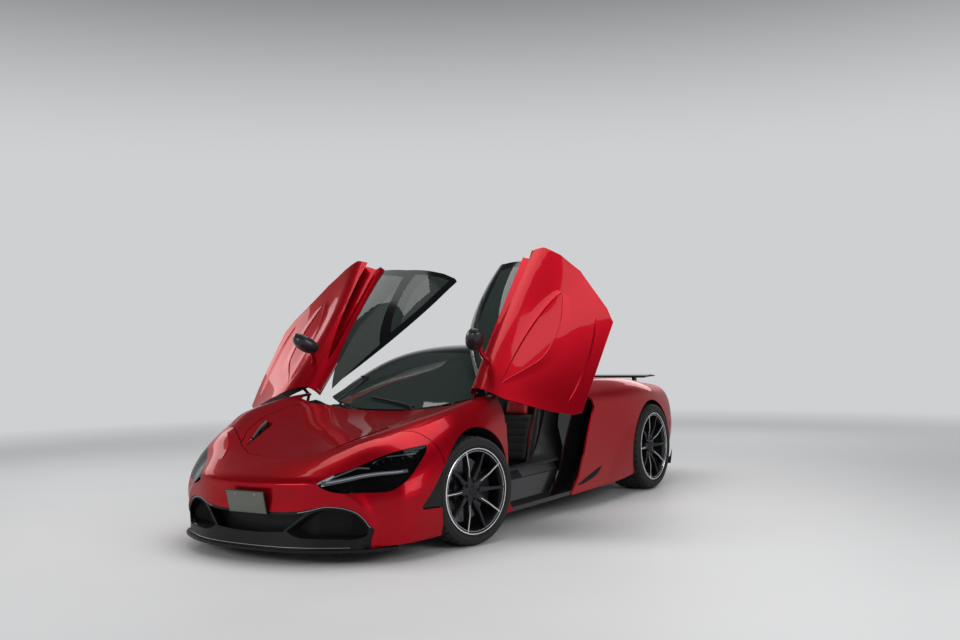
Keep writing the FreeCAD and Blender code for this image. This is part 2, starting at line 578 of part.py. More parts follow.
# The tub: floor, hollow of the cabin, sills, hinge towers and bulkheads.
FLOOR = size("floor_height")
FLOOR_TOP = FLOOR + size("floor_thickness")
TUB_REAR = fit_x(-620)
LINER = size("liner")
TUB_FRONT = FRONT_AXLE - size("front_arch_radius") - LINER - 2
SILL_IN = size("sill_inner")
floor_pan = box(TUB_REAR, TUB_FRONT, -SILL_IN, SILL_IN, FLOOR, FLOOR_TOP)
sill = prism("x", drawn("x", [
    (650, 112), (846, 112), (846, 140), (806, 170), (786, 300), (742, 356), (700, 356),
    (676, 150), (650, 150)]), TUB_REAR, fit_x(770))
dash_bulkhead = prism("y", drawn("y", [
    (835, 112), (865.5, 112), (865.5, 590), (905, 668), (905, 742), (860, 742), (835, 660)]), -600, 600)
rear_bulkhead = prism("x", drawn("x", [
    (-740, 112), (740, 112), (748, 420), (700, 660), (600, 835), (430, 930), (-430, 930),
    (-600, 835), (-700, 660), (-748, 420)]), TUB_REAR - 30, TUB_REAR)
hinge_tower = prism("y", drawn("y", [
    (780, 112), (865.5, 112), (865.5, 560), (925, 660), (985, 700), (985, 722), (900, 722),
    (800, 640)]), 590, 775)
tub = floor_pan.fuse([sill, mirrored(sill), dash_bulkhead, rear_bulkhead, hinge_tower,
                      mirrored(hinge_tower)])
tub = tub.removeSplitter()
for side in (1, -1):
    pin_start = Vector(BONNET_PIN.x, side * (BONNET_PIN.y - 12), BONNET_PIN.z)
    pin_end = Vector(BONNET_PIN.x, side * (BONNET_PIN.y + 24), BONNET_PIN.z)
    lug_y = side * (BONNET_PIN.y + 19)
    tub = tub.fuse([
        cylinder(size("bonnet_pin_radius"), pin_start, pin_end),
        box(BONNET_PIN.x - 8, BONNET_PIN.x + 8, lug_y - 5, lug_y + 5, fit_z(690), BONNET_PIN.z + 8)])

# Wheels, turned about their own axis and carried out to each corner.
def revolve(profile, turn=360.0):
    """A closed profile of (radius, along) turned about the Y axis."""
    ring = [Vector(r, y, 0) for r, y in profile]
    face = Part.Face(Part.makePolygon(ring + ring[:1]))
    return face.revolve(Vector(0, 0, 0), Vector(0, 1, 0), turn)


def tyre(radius, width, rim):
    half = width / 2
    arc = [(rim - 2, half - 22), (rim + 6, half - 14), (rim + 22, half - 1), (rim + 40, half),
           (radius - 22, half - 7), (radius - 8, half - 22), (radius, half - 52)]
    profile = arc + [(r, -y) for r, y in reversed(arc)]
    profile += [(rim - 21, 40 - half), (rim - 21, half - 40)]
    return revolve(profile)


def rim(radius, width, bore):
    """A ten-spoke wheel; its outer face looks along +Y."""
    half = width / 2 - 10
    lip = radius - 8
    barrel = revolve([
        (lip, half), (lip + 8, half), (lip + 8, half - 9), (lip - 6, half - 16),
        (lip - 13, half - 30), (lip - 20, 30 - half), (lip - 6, 16 - half), (lip + 8, 9 - half),
        (lip + 8, -half), (lip, -half), (lip - 14, 12 - half), (lip - 27, 34 - half),
        (lip - 21, half - 30), (lip - 14, half - 14)])
    face = half - 36
    hub = revolve([(0, face + 6), (34, face + 6), (60, face), (74, face - 12), (80, face - 40),
                   (bore, face - 40), (bore, face - 2), (0, face - 2)])
    spoke = prism("y", [(40, -17), (74, -15), (150, -9), (lip - 12, -8), (lip - 12, 8), (150, 9),
                        (74, 15), (40, 17)], face - 60, half)
    dish = revolve([(30, face), (80, face), (150, half - 14), (lip - 10, half - 4),
                    (lip - 10, half - 34), (150, face - 26), (80, face - 38), (30, face - 38)])
    spoke = spoke.common(dish)
    fins = []
    for k in range(10):
        fin = spoke.copy()
        fin.rotate(Vector(0, 0, 0), Vector(0, 1, 0), 36.0 * k)
        fins.append(fin)
    return barrel.fuse([hub] + fins)


def disc(radius, bore, at):
    half = size("disc_thickness") / 2
    return revolve([(radius, at + half), (radius, at - half), (105, at - half), (105, at + half - 4),
                    (98, at + half - 4), (98, at + 52), (bore, at + 52), (bore, at + 60),
                    (104, at + 60), (110, at + 54), (110, at + half)])


def caliper(radius, at, turn):
    """A block that straddles the disc; turn is its angle from forward."""
    body = revolve([(radius + 17, at + 38), (radius + 17, at - 38), (radius - 62, at - 38),
                    (radius - 62, at - 20), (radius + 6, at - 20), (radius + 6, at + 20),
                    (radius - 62, at + 20), (radius - 62, at + 38)], 62)
    body.rotate(Vector(0, 0, 0), Vector(0, 1, 0), turn)
    return body


AXLE = size("axle_radius")
BORE = AXLE + size("pin_clearance")
KINGPIN_OUT = size("front_track") / 2 - size("kingpin_inset")
HUB_FACE = size("front_tyre_width") / 2 - 46
REAR_FACE = size("rear_tyre_width") / 2 - 46
DISC_AT = HUB_FACE - 100
REAR_DISC_AT = REAR_FACE - 100
REAR_OUT = size("rear_track") / 2
KINGPIN = Vector(FRONT_AXLE, KINGPIN_OUT, size("front_tyre_radius"))


def shifted(shape, x, y, z):
    moved = shape.copy()
    moved.translate(Vector(x, y, z))
    return moved


def front_upright():
    """Kingpin, upright, axle stub and caliper, drawn about the kingpin's middle."""
    inset = size("kingpin_inset")
    pin = cylinder(size("kingpin_radius"), Vector(0, 0, -172), Vector(0, 0, 172))
    plate = box(-62, 62, -20, 22, -100, 100)
    stub = cylinder(AXLE, Vector(0, 0, 0), Vector(0, inset + HUB_FACE - 4, 0))
    bracket = box(-142, -50, 8, 22, -36, 36)
    brake = shifted(caliper(size("disc_radius"), DISC_AT, 149), 0, inset, 0)
    return pin.fuse([plate, stub, bracket, brake]).removeSplitter()


def wishbone(eye_radius, hole, x, y, z, inner_y, spread):
    """An arm from two inner bushes to one eye."""
    eye = cylinder(eye_radius, Vector(x, y, z - 13), Vector(x, y, z + 13))
    legs = [prism("z", [(x - 12, y), (x + 12, y), (x + side * spread + 14, inner_y),
                        (x + side * spread - 14, inner_y)], z - 10, z + 10) for side in (-1, 1)]
    bushes = [cylinder(20, Vector(x + side * spread - 30, inner_y, z),
                       Vector(x + side * spread + 30, inner_y, z)) for side in (-1, 1)]
    arm = eye.fuse(legs + bushes)
    return arm.cut(cylinder(hole, Vector(x, y, z - 20), Vector(x, y, z + 20)))


RAIL_IN, RAIL_OUT = 335.0, 385.0
pin_hole = size("kingpin_radius") + size("pin_clearance")
front_arms = [wishbone(24, pin_hole, FRONT_AXLE, KINGPIN_OUT, KINGPIN.z + rise, RAIL_OUT + 20, 150)
              for rise in (-150, 150)]
front_rails = box(TUB_FRONT + SEAT, fit_x(2040), RAIL_IN, RAIL_OUT, 150, 330).fuse(
    box(FRONT_AXLE - 190, FRONT_AXLE + 190, RAIL_IN, RAIL_OUT, 150, 500))
cross_beam = box(fit_x(2040), fit_x(2070), -400, 400, 240, 330)
rear_rails = prism("y", [
    (fit_x(-1985) + SEAT, 300), (fit_x(-1985) + SEAT, 380), (fit_x(-1600), 330),
    (TUB_REAR - 30 - SEAT, 330), (TUB_REAR - 30 - SEAT, 170), (fit_x(-1600), 170)],
    RAIL_IN - 20, RAIL_OUT - 20).fuse(
    box(REAR_AXLE - 190, REAR_AXLE + 190, RAIL_IN - 20, RAIL_OUT - 20, 170, 560))
shaft_way = cylinder(30, Vector(REAR_AXLE, 200, size("rear_tyre_radius")),
                     Vector(REAR_AXLE, 500, size("rear_tyre_radius")))
rear_rails = rear_rails.cut(shaft_way)
rear_beam = box(fit_x(-1985) + SEAT, fit_x(-1950), -560, 560, 330, 380)


def rear_upright():
    plate = box(-62, 62, -120, -76, -130, 130)
    stub = cylinder(AXLE, Vector(0, -120, 0), Vector(0, REAR_FACE - 4, 0))
    shaft = cylinder(18, Vector(0, 150 - REAR_OUT, 0), Vector(0, -120, 0))
    brake = caliper(size("disc_radius"), REAR_DISC_AT, 149)
    bracket = box(-142, -50, -90, REAR_DISC_AT - 20, -36, 36)
    lugs = [cylinder(24, Vector(0, -120, rise), Vector(0, -76, rise)) for rise in (-120, 120)]
    return plate.fuse([stub, shaft, brake, bracket] + lugs)


rear_arms = [wishbone(30, 1, REAR_AXLE, REAR_OUT - 130, size("rear_tyre_radius") + rise,
                      RAIL_OUT, 150) for rise in (-115, 115)]

# Liners of the arches.
def liner(x, radius, inside, outside):
    z = wheel_height(x)
    ring = cylinder(radius + 2 + LINER, Vector(x, inside, z), Vector(x, outside, z)).cut(
        cylinder(radius + 2, Vector(x, inside - 1, z), Vector(x, outside + 1, z)))
    return ring.common(box(x - 500, x + 500, 0, 1200, 170, 1000))


front_liner = liner(FRONT_AXLE, size("front_arch_radius"), 560, 960)
front_liner = largest(front_liner.cut([
    body_band(13, 18, -60, SKIN, half=True), hinge_tower, door_side_wide]))
rear_liner = liner(REAR_AXLE, size("rear_arch_radius"), 520, 960)
rear_liner = largest(rear_liner.cut(body_band(1, 8, -60, SKIN, half=True)))

# Cabin fittings.
seat_side = drawn("y", [
    (-90, 176), (300, 174), (392, 246), (404, 316), (330, 330), (180, 300), (60, 296), (-28, 350),
    (-120, 560), (-196, 780), (-262, 868), (-332, 850), (-352, 740), (-300, 520), (-210, 310),
    (-156, 214)])
seat_hollow = drawn("y", [
    (420, 300), (300, 290), (150, 252), (40, 250), (-66, 320), (-160, 560), (-232, 760),
    (-240, 900), (600, 900), (600, 300)])
seat = smooth_prism("y", seat_side, 145, 605).cut(prism("y", seat_hollow, 205, 545))
seat = seat.fuse([box(fit_x(-60), fit_x(280), y, y + 30, FLOOR_TOP, FLOOR_TOP + 60)
                  for y in (190, 530)])
dashboard = prism("y", drawn("y", [
    (835, 452), (835, 660), (850, 736), (800, 768), (700, 790), (600, 774), (540, 728), (536, 684),
    (600, 640), (700, 560), (760, 452)]), -640, 640)
console = prism("y", drawn("y", [
    (-560, 142), (-560, 300), (-300, 380), (100, 400), (400, 470), (620, 600), (700, 560),
    (770, 440), (800, 142)]), -95, 95)
wheel_at = fit(400, 372, 660)
COLUMN_TILT = 22.0
wheel_turn = Rotation(Vector(0, 1, 0), COLUMN_TILT)
hand_wheel = Part.makeTorus(
    size("steering_wheel_radius"), size("steering_rim_radius"), Vector(), Vector(1, 0, 0))
hand_wheel = hand_wheel.fuse(
    [cylinder(52, Vector(-14, 0, 0), Vector(26, 0, 0)),
     box(-7, 7, -172, 172, -22, 22), box(-7, 7, -24, 24, -172, 0)])
column = cylinder(24, Vector(26.5, 0, 0), Vector(470, 0, 0)).fuse(
    cylinder(12, Vector(10, 0, 0), Vector(470, 0, 0)))
hand_wheel = hand_wheel.cut(cylinder(12 + size("pin_clearance"), Vector(9, 0, 0), Vector(40, 0, 0)))
parked_turn = Rotation(Vector(1, 0, 0), -size("steering_ratio") * size("steer_parked"))
column.Placement = Placement(wheel_at, wheel_turn)
hand_wheel.Placement = Placement(wheel_at, wheel_turn * parked_turn)
column = column.common(box(-2000, TUB_FRONT - 30, -1200, 1200, 0, 1400))
engine = box(fit_x(-1250), fit_x(-690), -270, 270, 190, 700)
engine = engine.fuse([box(x, x + 60, SEAT + 20 - RAIL_IN, RAIL_IN - 20 - SEAT, 230, 300)
                      for x in (fit_x(-1220), fit_x(-780))])
luggage_side = drawn("y", [(905, 280), (1780, 330), (1880, 480), (1700, 600), (905, 700)])
luggage = prism("y", luggage_side, -RAIL_IN, RAIL_IN).cut(
    prism("y", drawn("y", [(911, 286), (1776, 336), (1872, 478), (1960, 720), (911, 900)]),
          8 - RAIL_IN, RAIL_IN - 8))
undertray = prism("z", whole(drawn("z", [
    (1880, 0), (1880, 680), (1866, 700), (1660, 800), (1640, 545), (868, 545), (868, 790), (-1010, 790),
    (-1030, 505), (-1500, 505), (-1500, 0)])), 102, 112)
intake_line = drawn("z", [(2150, 0), (2135, 250), (2088, 400), (2022, 520), (1952, 600), (1906, 660),
                          (1880, 700)])
intake_backs = prism("z", across(intake_line) + across([(x - 8, y) for x, y in intake_line])[::-1],
                     SPLITTER_TOP, fit_z(300))
diffuser = prism("y", drawn("y", [
    (-1500, 102), (-1800, 128), (-2090, 268), (-2090, 290), (-1795, 146), (-1500, 112)]), -600, 600)
fins = [prism("y", drawn("y", [
    (-1620, 112), (-1800, 96), (-2100, 190), (-2100, 275), (-1800, 138)]), y - 5, y + 5)
    for y in (-450, -150, 150, 450)]
diffuser = diffuser.fuse(fins)
tail_panel = box(fit_x(-2000), fit_x(-1985), -735, 735, 285, 800).cut([
    cylinder(58 + SEAT, fit(-2060, y, 560), fit(-1900, y, 560)) for y in (-190, 190)])
exhaust = [cylinder(58, fit(-2060, y, 560), fit(-1900, y, 560)).cut(
    cylinder(50, fit(-2061, y, 560), fit(-1920, y, 560))) for y in (-190, 190)]
tail_lamp = prism("x", drawn("x", [
    (330, 742), (560, 742), (735, 700), (745, 640), (735, 640), (716, 686), (556, 728), (330, 728)]),
    fit_x(-2030), fit_x(-2000))
spoiler = prism("y", drawn("y", [
    (-2240, 884), (-2236, 890), (-2150, 902), (-2040, 896), (-1985, 884), (-1990, 878), (-2050, 882),
    (-2150, 884)]), -640, 640)
pylons = [box(fit_x(-2120), fit_x(-2070), y - 12, y + 12, 800, 886).cut(
    body_band(0, 4, -SEAT, 330)) for y in (-500, 500)]

# The door swings about a line from the wing's hinge to the one above the screen.
HINGE_FOOT = Vector(FRONT_AXLE - size("hinge_foot_back"), size("hinge_foot_out"),
                    size("hinge_foot_up"))
HINGE_HEAD = Vector(FRONT_AXLE - size("hinge_head_back"), size("hinge_head_out"),
                    size("hinge_head_up"))
HINGE_LINE = (HINGE_HEAD - HINGE_FOOT).normalize()


def opened(angle, side=1):
    """The placement of a door opened by so many degrees, left for side 1."""
    line = Vector(HINGE_LINE.x * side, HINGE_LINE.y, HINGE_LINE.z * side)
    foot = Vector(HINGE_FOOT.x, HINGE_FOOT.y * side, HINGE_FOOT.z)
    return Placement(Vector(), Rotation(line, -angle), foot)


# The hinge: a pin in two lugs on the tower, and a barrel with an arm on the door.
HINGE_MID = HINGE_FOOT + HINGE_LINE * size("hinge_along")
PIN = size("hinge_pin_radius")


def along_hinge(distance):
    return HINGE_MID + HINGE_LINE * distance


TOWER_TOP = fit_z(722)
hinge_pin = cylinder(PIN, along_hinge(-58), along_hinge(58))
for start, end in ((-58, -44), (44, 58)):
    lug = along_hinge((start + end) / 2)
    hinge_pin = hinge_pin.fuse([
        cylinder(PIN + 10, along_hinge(start), along_hinge(end)),
        box(lug.x - 7, lug.x + 7, lug.y - 7, lug.y + 7, TOWER_TOP, lug.z)])
HINGE_NECK = fit(760, 728, 715)
HINGE_ROOT = fit(738, 848, 735)
ARM = size("hinge_arm_radius")
hinge_arm = cylinder(PIN + 6, along_hinge(-34), along_hinge(34)).fuse([
    cylinder(ARM, HINGE_MID, HINGE_NECK), Part.makeSphere(ARM, HINGE_NECK),
    cylinder(ARM, HINGE_NECK, HINGE_ROOT)]).cut(
        cylinder(PIN + size("pin_clearance"), along_hinge(-60), along_hinge(60)))
door_inner = door_inner.fuse(hinge_arm)

side_glass_plan = drawn("z", [
    (770, 655), (560, 600), (300, 520), (60, 440), (-160, 372), (-330, 330), (-350, 420),
    (-340, 560), (-335, 680), (-100, 720), (300, 745), (650, 725)])
door_glass_zone = plan_cut(side_glass_plan, 0, 500)
above_bar = box(-2000, 2000, 0, 1200, fit_z(1104), 1400)
below_bar = box(-2000, 2000, 0, 1200, 400, fit_z(1066))
door_windows = [door_glass_zone.common(below_bar), roof_zone(-size("roof_border")).common(above_bar)]
glass_wall = canopy(0, size("glass"), half=True).cut(door_foot)
door_glass = Part.makeCompound([largest(glass_wall.common(zone)) for zone in door_windows])
door_frame = largest(door_roof.cut(door_windows))

MIRROR_AT = fit(546, 984, 935)
MIRROR_RINGS = ((-1, 0.14), (-0.9, 0.46), (-0.6, 0.82), (0, 1), (0.6, 0.84), (0.9, 0.48), (1, 0.14))


def mirror_shell(share):
    """A rounded housing about the mirror's middle, lofted across the car from closed rings."""
    depth = size("mirror_depth") * share
    width = size("mirror_width") * share
    height = size("mirror_height") * share
    rings = []
    for out, part in MIRROR_RINGS:
        curve = Part.BSplineCurve()
        curve.interpolate([Vector(depth * part * math.cos(angle * math.pi / 6), width / 2 * out,
                                  height / 2 * part * math.sin(angle * math.pi / 6))
                           for angle in range(12)], PeriodicFlag=True)
        rings.append(Part.Wire([curve.toShape()]))
    return Part.makeLoft(rings, True)


def door_mirror():
    """A housing on a curved arm from the door's shoulder, with a hollow for the glass behind."""
    head = mirror_shell(1.0).cut(box(-200, -size("mirror_back"), -200, 200, -200, 200))
    head = head.cut(mirror_shell(0.9).common(box(-200, -size("mirror_back") / 2, -200, 200, -200, 200)))
    head.rotate(Vector(), Vector(1, 0, 0), -6)
    head.translate(MIRROR_AT)
    line = Part.BSplineCurve()
    line.interpolate([fit(584, 824, 770), fit(580, 846, 846), fit(568, 884, 884),
                      fit(554, 930, 908), MIRROR_AT + Vector(14, -20, -6)])
    first, last = line.FirstParameter, line.LastParameter
    rings = []
    for k in range(9):
        at = first + (last - first) * k / 8
        rings.append(Part.Wire([Part.Circle(
            line.value(at), line.tangent(at)[0], size("mirror_arm") * (1.25 - k / 20)).toShape()]))
    return largest(head.fuse(Part.makeLoft(rings, True)).cut(door_foot))


mirror = door_mirror()

steer = Rotation(Vector(0, 0, 1), size("steer_parked"))
front_tyre = tyre(size("front_tyre_radius"), size("front_tyre_width"), size("front_rim_radius"))
rear_tyre = tyre(size("rear_tyre_radius"), size("rear_tyre_width"), size("rear_rim_radius"))
front_rim = rim(size("front_rim_radius"), size("front_tyre_width"), BORE)
rear_rim = rim(size("rear_rim_radius"), size("rear_tyre_width"), BORE)
front_tyre = largest(front_tyre.cut(front_rim))
rear_tyre = largest(rear_tyre.cut(rear_rim))
front_rim = front_rim.fuse(disc(size("disc_radius"), BORE, DISC_AT))
rear_rim = rear_rim.fuse(disc(size("disc_radius"), BORE, REAR_DISC_AT))

for side, word in ((1, "left"), (-1, "right")):
    def sided(shape):
        return shape if side == 1 else mirrored(shape)

    parked = Placement(Vector(KINGPIN.x, side * KINGPIN.y, KINGPIN.z), steer)
    inset = size("kingpin_inset")
    add(f"knuckle_{word}", sided(front_upright()), parked)
    add(f"front_tyre_{word}", sided(shifted(front_tyre, 0, inset, 0)), parked)
    add(f"front_wheel_{word}", sided(shifted(front_rim, 0, inset, 0)), parked)
    rear_spot = Placement(Vector(REAR_AXLE, side * REAR_OUT, size("rear_tyre_radius")), Rotation())
    add(f"rear_tyre_{word}", sided(rear_tyre), rear_spot)
    add(f"rear_wheel_{word}", sided(rear_rim), rear_spot)
    swung = opened(size("door_swing"), side)
    add(f"door_skin_{word}", sided(door_skin), swung)
    add(f"door_inner_{word}", sided(door_inner), swung)
    add(f"door_frame_{word}", sided(door_frame), swung)
    add(f"door_glass_{word}", sided(door_glass), swung)
    add(f"mirror_{word}", sided(mirror), swung)

rear_upright_left = shifted(rear_upright(), REAR_AXLE, REAR_OUT, size("rear_tyre_radius"))
rear_corner = largest(rear_upright_left.fuse(rear_arms))
add("tub", tub)
add("undertray", undertray.fuse(diffuser))
add("wings", pair(wing))
add("quarters", Part.makeCompound([quarter, mirrored(quarter), deck]))
add("nose", nose)
add("splitter", Part.makeCompound([splitter, intake_backs]))
add("bonnet", bonnet)
add("arch_vents", Part.makeCompound([vent_panel, mirrored(vent_panel), intake_wall,
                                     mirrored(intake_wall)]))
add("headlamp_bowls", pair(lamp_bowl))
add("headlamp_covers", pair(lamp_cover))
add("windscreen", Part.makeCompound([windscreen] + rear_glass))
add("roof_frame", Part.makeCompound([roof_frame, scuttle]))
add("engine_cover", engine_cover)
add("arch_liners", Part.makeCompound([front_liner, mirrored(front_liner), rear_liner,
                                      mirrored(rear_liner)]))
add("rails", Part.makeCompound([cross_beam.fuse([front_rails, mirrored(front_rails)]),
                                rear_beam.fuse([rear_rails, mirrored(rear_rails)]),
                                hinge_pin, mirrored(hinge_pin)]))
add("suspension", Part.makeCompound(
    front_arms + [mirrored(a) for a in front_arms] + [rear_corner, mirrored(rear_corner)]))
add("seats", pair(seat))
add("dashboard", dashboard.fuse([column, console]).cut(tub))
add("steering_wheel", hand_wheel)
add("engine", engine)
add("luggage_tub", luggage)
add("tail_panel", tail_panel)
add("exhausts", Part.makeCompound(exhaust))
add("tail_lamps", pair(tail_lamp))
add("rear_spoiler", spoiler.fuse(pylons))

doc.recompute()
os.makedirs("parts", exist_ok=True)
for feature in REST:
    if "Invalid" in feature.State or "Error" in feature.State:
        raise RuntimeError(f"{feature.Label} did not recompute")
    if not feature.Shape.isValid() or not feature.Shape.Solids:
        raise RuntimeError(f"{feature.Label} is not a valid solid")
    feature.Shape.exportStep(f"parts/{feature.Label}.step")
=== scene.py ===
"""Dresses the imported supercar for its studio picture: paint, glass, wheels, lamps and cabin."""

import json
import logging
import math
from dataclasses import dataclass, field
from enum import Enum
from typing import Callable, Optional, Sequence

import bmesh
import bpy
from mathutils import Matrix, Vector
from mathutils.bvhtree import BVHTree


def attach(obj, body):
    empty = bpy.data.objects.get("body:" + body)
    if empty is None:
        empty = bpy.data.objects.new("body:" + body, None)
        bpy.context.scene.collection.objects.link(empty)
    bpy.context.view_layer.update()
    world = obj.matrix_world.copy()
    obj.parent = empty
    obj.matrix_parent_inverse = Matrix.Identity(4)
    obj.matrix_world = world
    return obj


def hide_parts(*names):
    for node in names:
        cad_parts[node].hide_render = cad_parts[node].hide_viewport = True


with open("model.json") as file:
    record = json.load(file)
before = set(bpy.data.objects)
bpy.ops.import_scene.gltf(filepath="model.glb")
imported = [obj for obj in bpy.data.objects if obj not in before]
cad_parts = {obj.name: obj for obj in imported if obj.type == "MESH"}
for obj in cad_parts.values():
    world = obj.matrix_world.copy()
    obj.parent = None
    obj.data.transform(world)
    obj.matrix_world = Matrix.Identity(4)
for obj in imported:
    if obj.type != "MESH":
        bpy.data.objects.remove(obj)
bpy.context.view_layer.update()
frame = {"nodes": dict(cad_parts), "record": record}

log = logging.getLogger("supercar")
logging.basicConfig(level=logging.INFO, format="%(name)s: %(message)s")

Colour = tuple[float, float, float]
Point = tuple[float, float, float]
Pair = tuple[float, float]


class Side(Enum):
    """The two sides of the car, as the sign of Y."""

    LEFT = 1
    RIGHT = -1

    @property
    def word(self) -> str:
        """The side's name as the nodes carry it."""
        return self.name.lower()


class Axle(Enum):
    """The two axles, by the word in the names of their nodes."""

    FRONT = "front"
    REAR = "rear"


# Shader maths


@dataclass(frozen=True)
class Signal:
    """A socket's value, or a plain number, that takes part in arithmetic."""

    shader: "Shader"
    socket: object

    def _math(self, operation: str, *others: object, flip: bool = False) -> "Signal":
        """Adds one Math node.

        Args:
            operation: the node's operation.
            others: further inputs, as signals or numbers.
            flip: whether the first other comes before this value.

        Returns:
            The node's result.
        """
        values = [self, *others]
        if flip:
            values[0], values[1] = values[1], values[0]
        inputs = dict(enumerate(values))
        return self.shader.node("ShaderNodeMath", {"operation": operation}, inputs)[0]

    def __add__(self, other: object) -> "Signal":
        """This plus another."""
        return self._math("ADD", other)

    __radd__ = __add__

    def __sub__(self, other: object) -> "Signal":
        """This minus another."""
        return self._math("SUBTRACT", other)

    def __rsub__(self, other: object) -> "Signal":
        """Another minus this."""
        return self._math("SUBTRACT", other, flip=True)

    def __mul__(self, other: object) -> "Signal":
        """This times another."""
        return self._math("MULTIPLY", other)

    __rmul__ = __mul__

    def __truediv__(self, other: object) -> "Signal":
        """This over another."""
        return self._math("DIVIDE", other)

    def __gt__(self, other: object) -> "Signal":
        """1 where this is greater."""
        return self._math("GREATER_THAN", other)

    def fraction(self) -> "Signal":
        """The part after the decimal point."""
        return self._math("FRACT")

    def sine(self) -> "Signal":
        """The sine."""
        return self._math("SINE")

    def root(self) -> "Signal":
        """The square root."""
        return self._math("SQRT")

    def floor(self) -> "Signal":
        """The whole number below."""
        return self._math("FLOOR")

    def at_least(self, low: float) -> "Signal":
        """The greater of this and a number."""
        return self._math("MAXIMUM", low)

    def at_most(self, high: float) -> "Signal":
        """The smaller of this and a number."""
        return self._math("MINIMUM", high)


def lifted(colour: Colour, gain: float, add: float = 0.0) -> Colour:
    """A lighter form of a colour."""
    return tuple(min(1.0, channel * gain + add) for channel in colour)


class Shader:
    """A material under construction."""

    def __init__(self, name: str) -> None:
        """Starts an empty material.

        Args:
            name: the material's name.
        """
        self.material = bpy.data.materials.new(name)
        self.material.use_nodes = True
        self.tree = self.material.node_tree
        self.tree.nodes.clear()
        self.output = self.tree.nodes.new("ShaderNodeOutputMaterial")

    def node(self, kind: str, settings: Optional[dict] = None,
             inputs: Optional[dict] = None) -> list[Signal]:
        """Adds one node.

        Args:
            kind: the node's type.
            settings: its properties, which are set first.
            inputs: the values or links of its sockets, by name or number.

        Returns:
            Its outputs in order.
        """
        made = self.tree.nodes.new(kind)
        for key, value in (settings or {}).items():
            setattr(made, key, value)
        for key, value in (inputs or {}).items():
            socket = made.inputs[key]
            if isinstance(value, Signal):
                self.tree.links.new(value.socket, socket)
            else:
                socket.default_value = value
        return [Signal(self, out) for out in made.outputs if out.enabled]

    def place(self, scale: float = 1.0) -> Signal:
        """Object coordinates, scaled."""
        spot = self.node("ShaderNodeTexCoord")[3]
        return self.node("ShaderNodeMapping", {}, {"Vector": spot, "Scale": (scale,) * 3})[0]

    def noise(self, scale: float, detail: float = 2.0) -> Signal:
        """Noise over the object."""
        return self.node("ShaderNodeTexNoise", {}, {
            "Vector": self.place(), "Scale": scale, "Detail": detail})[0]

    def cells(self, scale: float, feature: str = "F1") -> Signal:
        """The distances of a pattern of cells over the object."""
        return self.node("ShaderNodeTexVoronoi", {"feature": feature}, {
            "Vector": self.place(), "Scale": scale})[0]

    def parts(self, where: Signal) -> list[Signal]:
        """The three numbers of a place."""
        return self.node("ShaderNodeSeparateXYZ", {}, {0: where})

    def mix(self, factor: object, first: Colour, second: Colour) -> Signal:
        """Goes from one colour to another.

        Args:
            factor: how much of the second.
            first: the colour at 0.
            second: the colour at 1.

        Returns:
            The mixed colour.
        """
        return self.node("ShaderNodeMix", {"data_type": "RGBA"}, {
            0: factor, 6: (*first, 1.0), 7: (*second, 1.0)})[0]

    def bump(self, height: Signal, strength: float, distance: float) -> Signal:
        """A bumped normal.

        Args:
            height: the height field.
            strength: how much of it shows.
            distance: the height of 1, in metres.

        Returns:
            The normal.
        """
        return self.node("ShaderNodeBump", {}, {
            "Strength": strength, "Distance": distance, "Height": height})[0]

    def surface(self, **sockets: object) -> bpy.types.Material:
        """Ends the material in one Principled shader.

        Args:
            sockets: values or signals, named as the sockets are, with _ for a space.

        Returns:
            The material.
        """
        named = {key.replace("_", " "): value for key, value in sockets.items()}
        for key, value in named.items():
            if "Color" in key and isinstance(value, tuple) and len(value) == 3:
                named[key] = (*value, 1.0)
        shader = self.node("ShaderNodeBsdfPrincipled", {}, named)[0]
        self.tree.links.new(shader.socket, self.output.inputs[0])
        return self.material


# Finishes


@dataclass(frozen=True)
class Finish:
    """A finish that makes its material once."""

    name: str

    def build(self) -> bpy.types.Material:
        """The material itself."""
        raise NotImplementedError

    def material(self) -> bpy.types.Material:
        """The material, made on first use."""
        return bpy.data.materials.get(self.name) or self.build()


@dataclass(frozen=True)
class CandyPaint(Finish):
    """Deep red metallic paint under clear lacquer."""

    deep: Colour = (0.300, 0.0018, 0.0075)
    bright: Colour = (0.500, 0.0036, 0.0150)
    edge: Colour = (0.50, 0.03, 0.06)

    def build(self) -> bpy.types.Material:
        """Fine flake in a red base, under a smooth coat.

        Returns:
            The material.
        """
        shader = Shader(self.name)
        flake = shader.cells(1500.0)
        tone = shader.noise(900.0, 1.0)
        return shader.surface(
            Base_Color=shader.mix(tone, self.deep, self.bright),
            Metallic=0.62, Roughness=0.30 + 0.08 * flake, Specular_Tint=(*self.edge, 1.0),
            Specular_IOR_Level=0.25, Coat_Weight=0.45, Coat_Roughness=0.02, Coat_IOR=1.32)


@dataclass(frozen=True)
class GlossMoulding(Finish):
    """Polished plastic or lacquered panel of one colour."""

    colour: Colour = (0.004, 0.004, 0.0045)
    roughness: float = 0.07

    def build(self) -> bpy.types.Material:
        """A smooth skin with a trace of orange peel.

        Returns:
            The material.
        """
        shader = Shader(self.name)
        peel = shader.noise(160.0, 1.0)
        return shader.surface(
            Base_Color=self.colour, Roughness=self.roughness + 0.03 * peel,
            Specular_IOR_Level=0.24, Normal=shader.bump(peel, 0.04, 0.001))


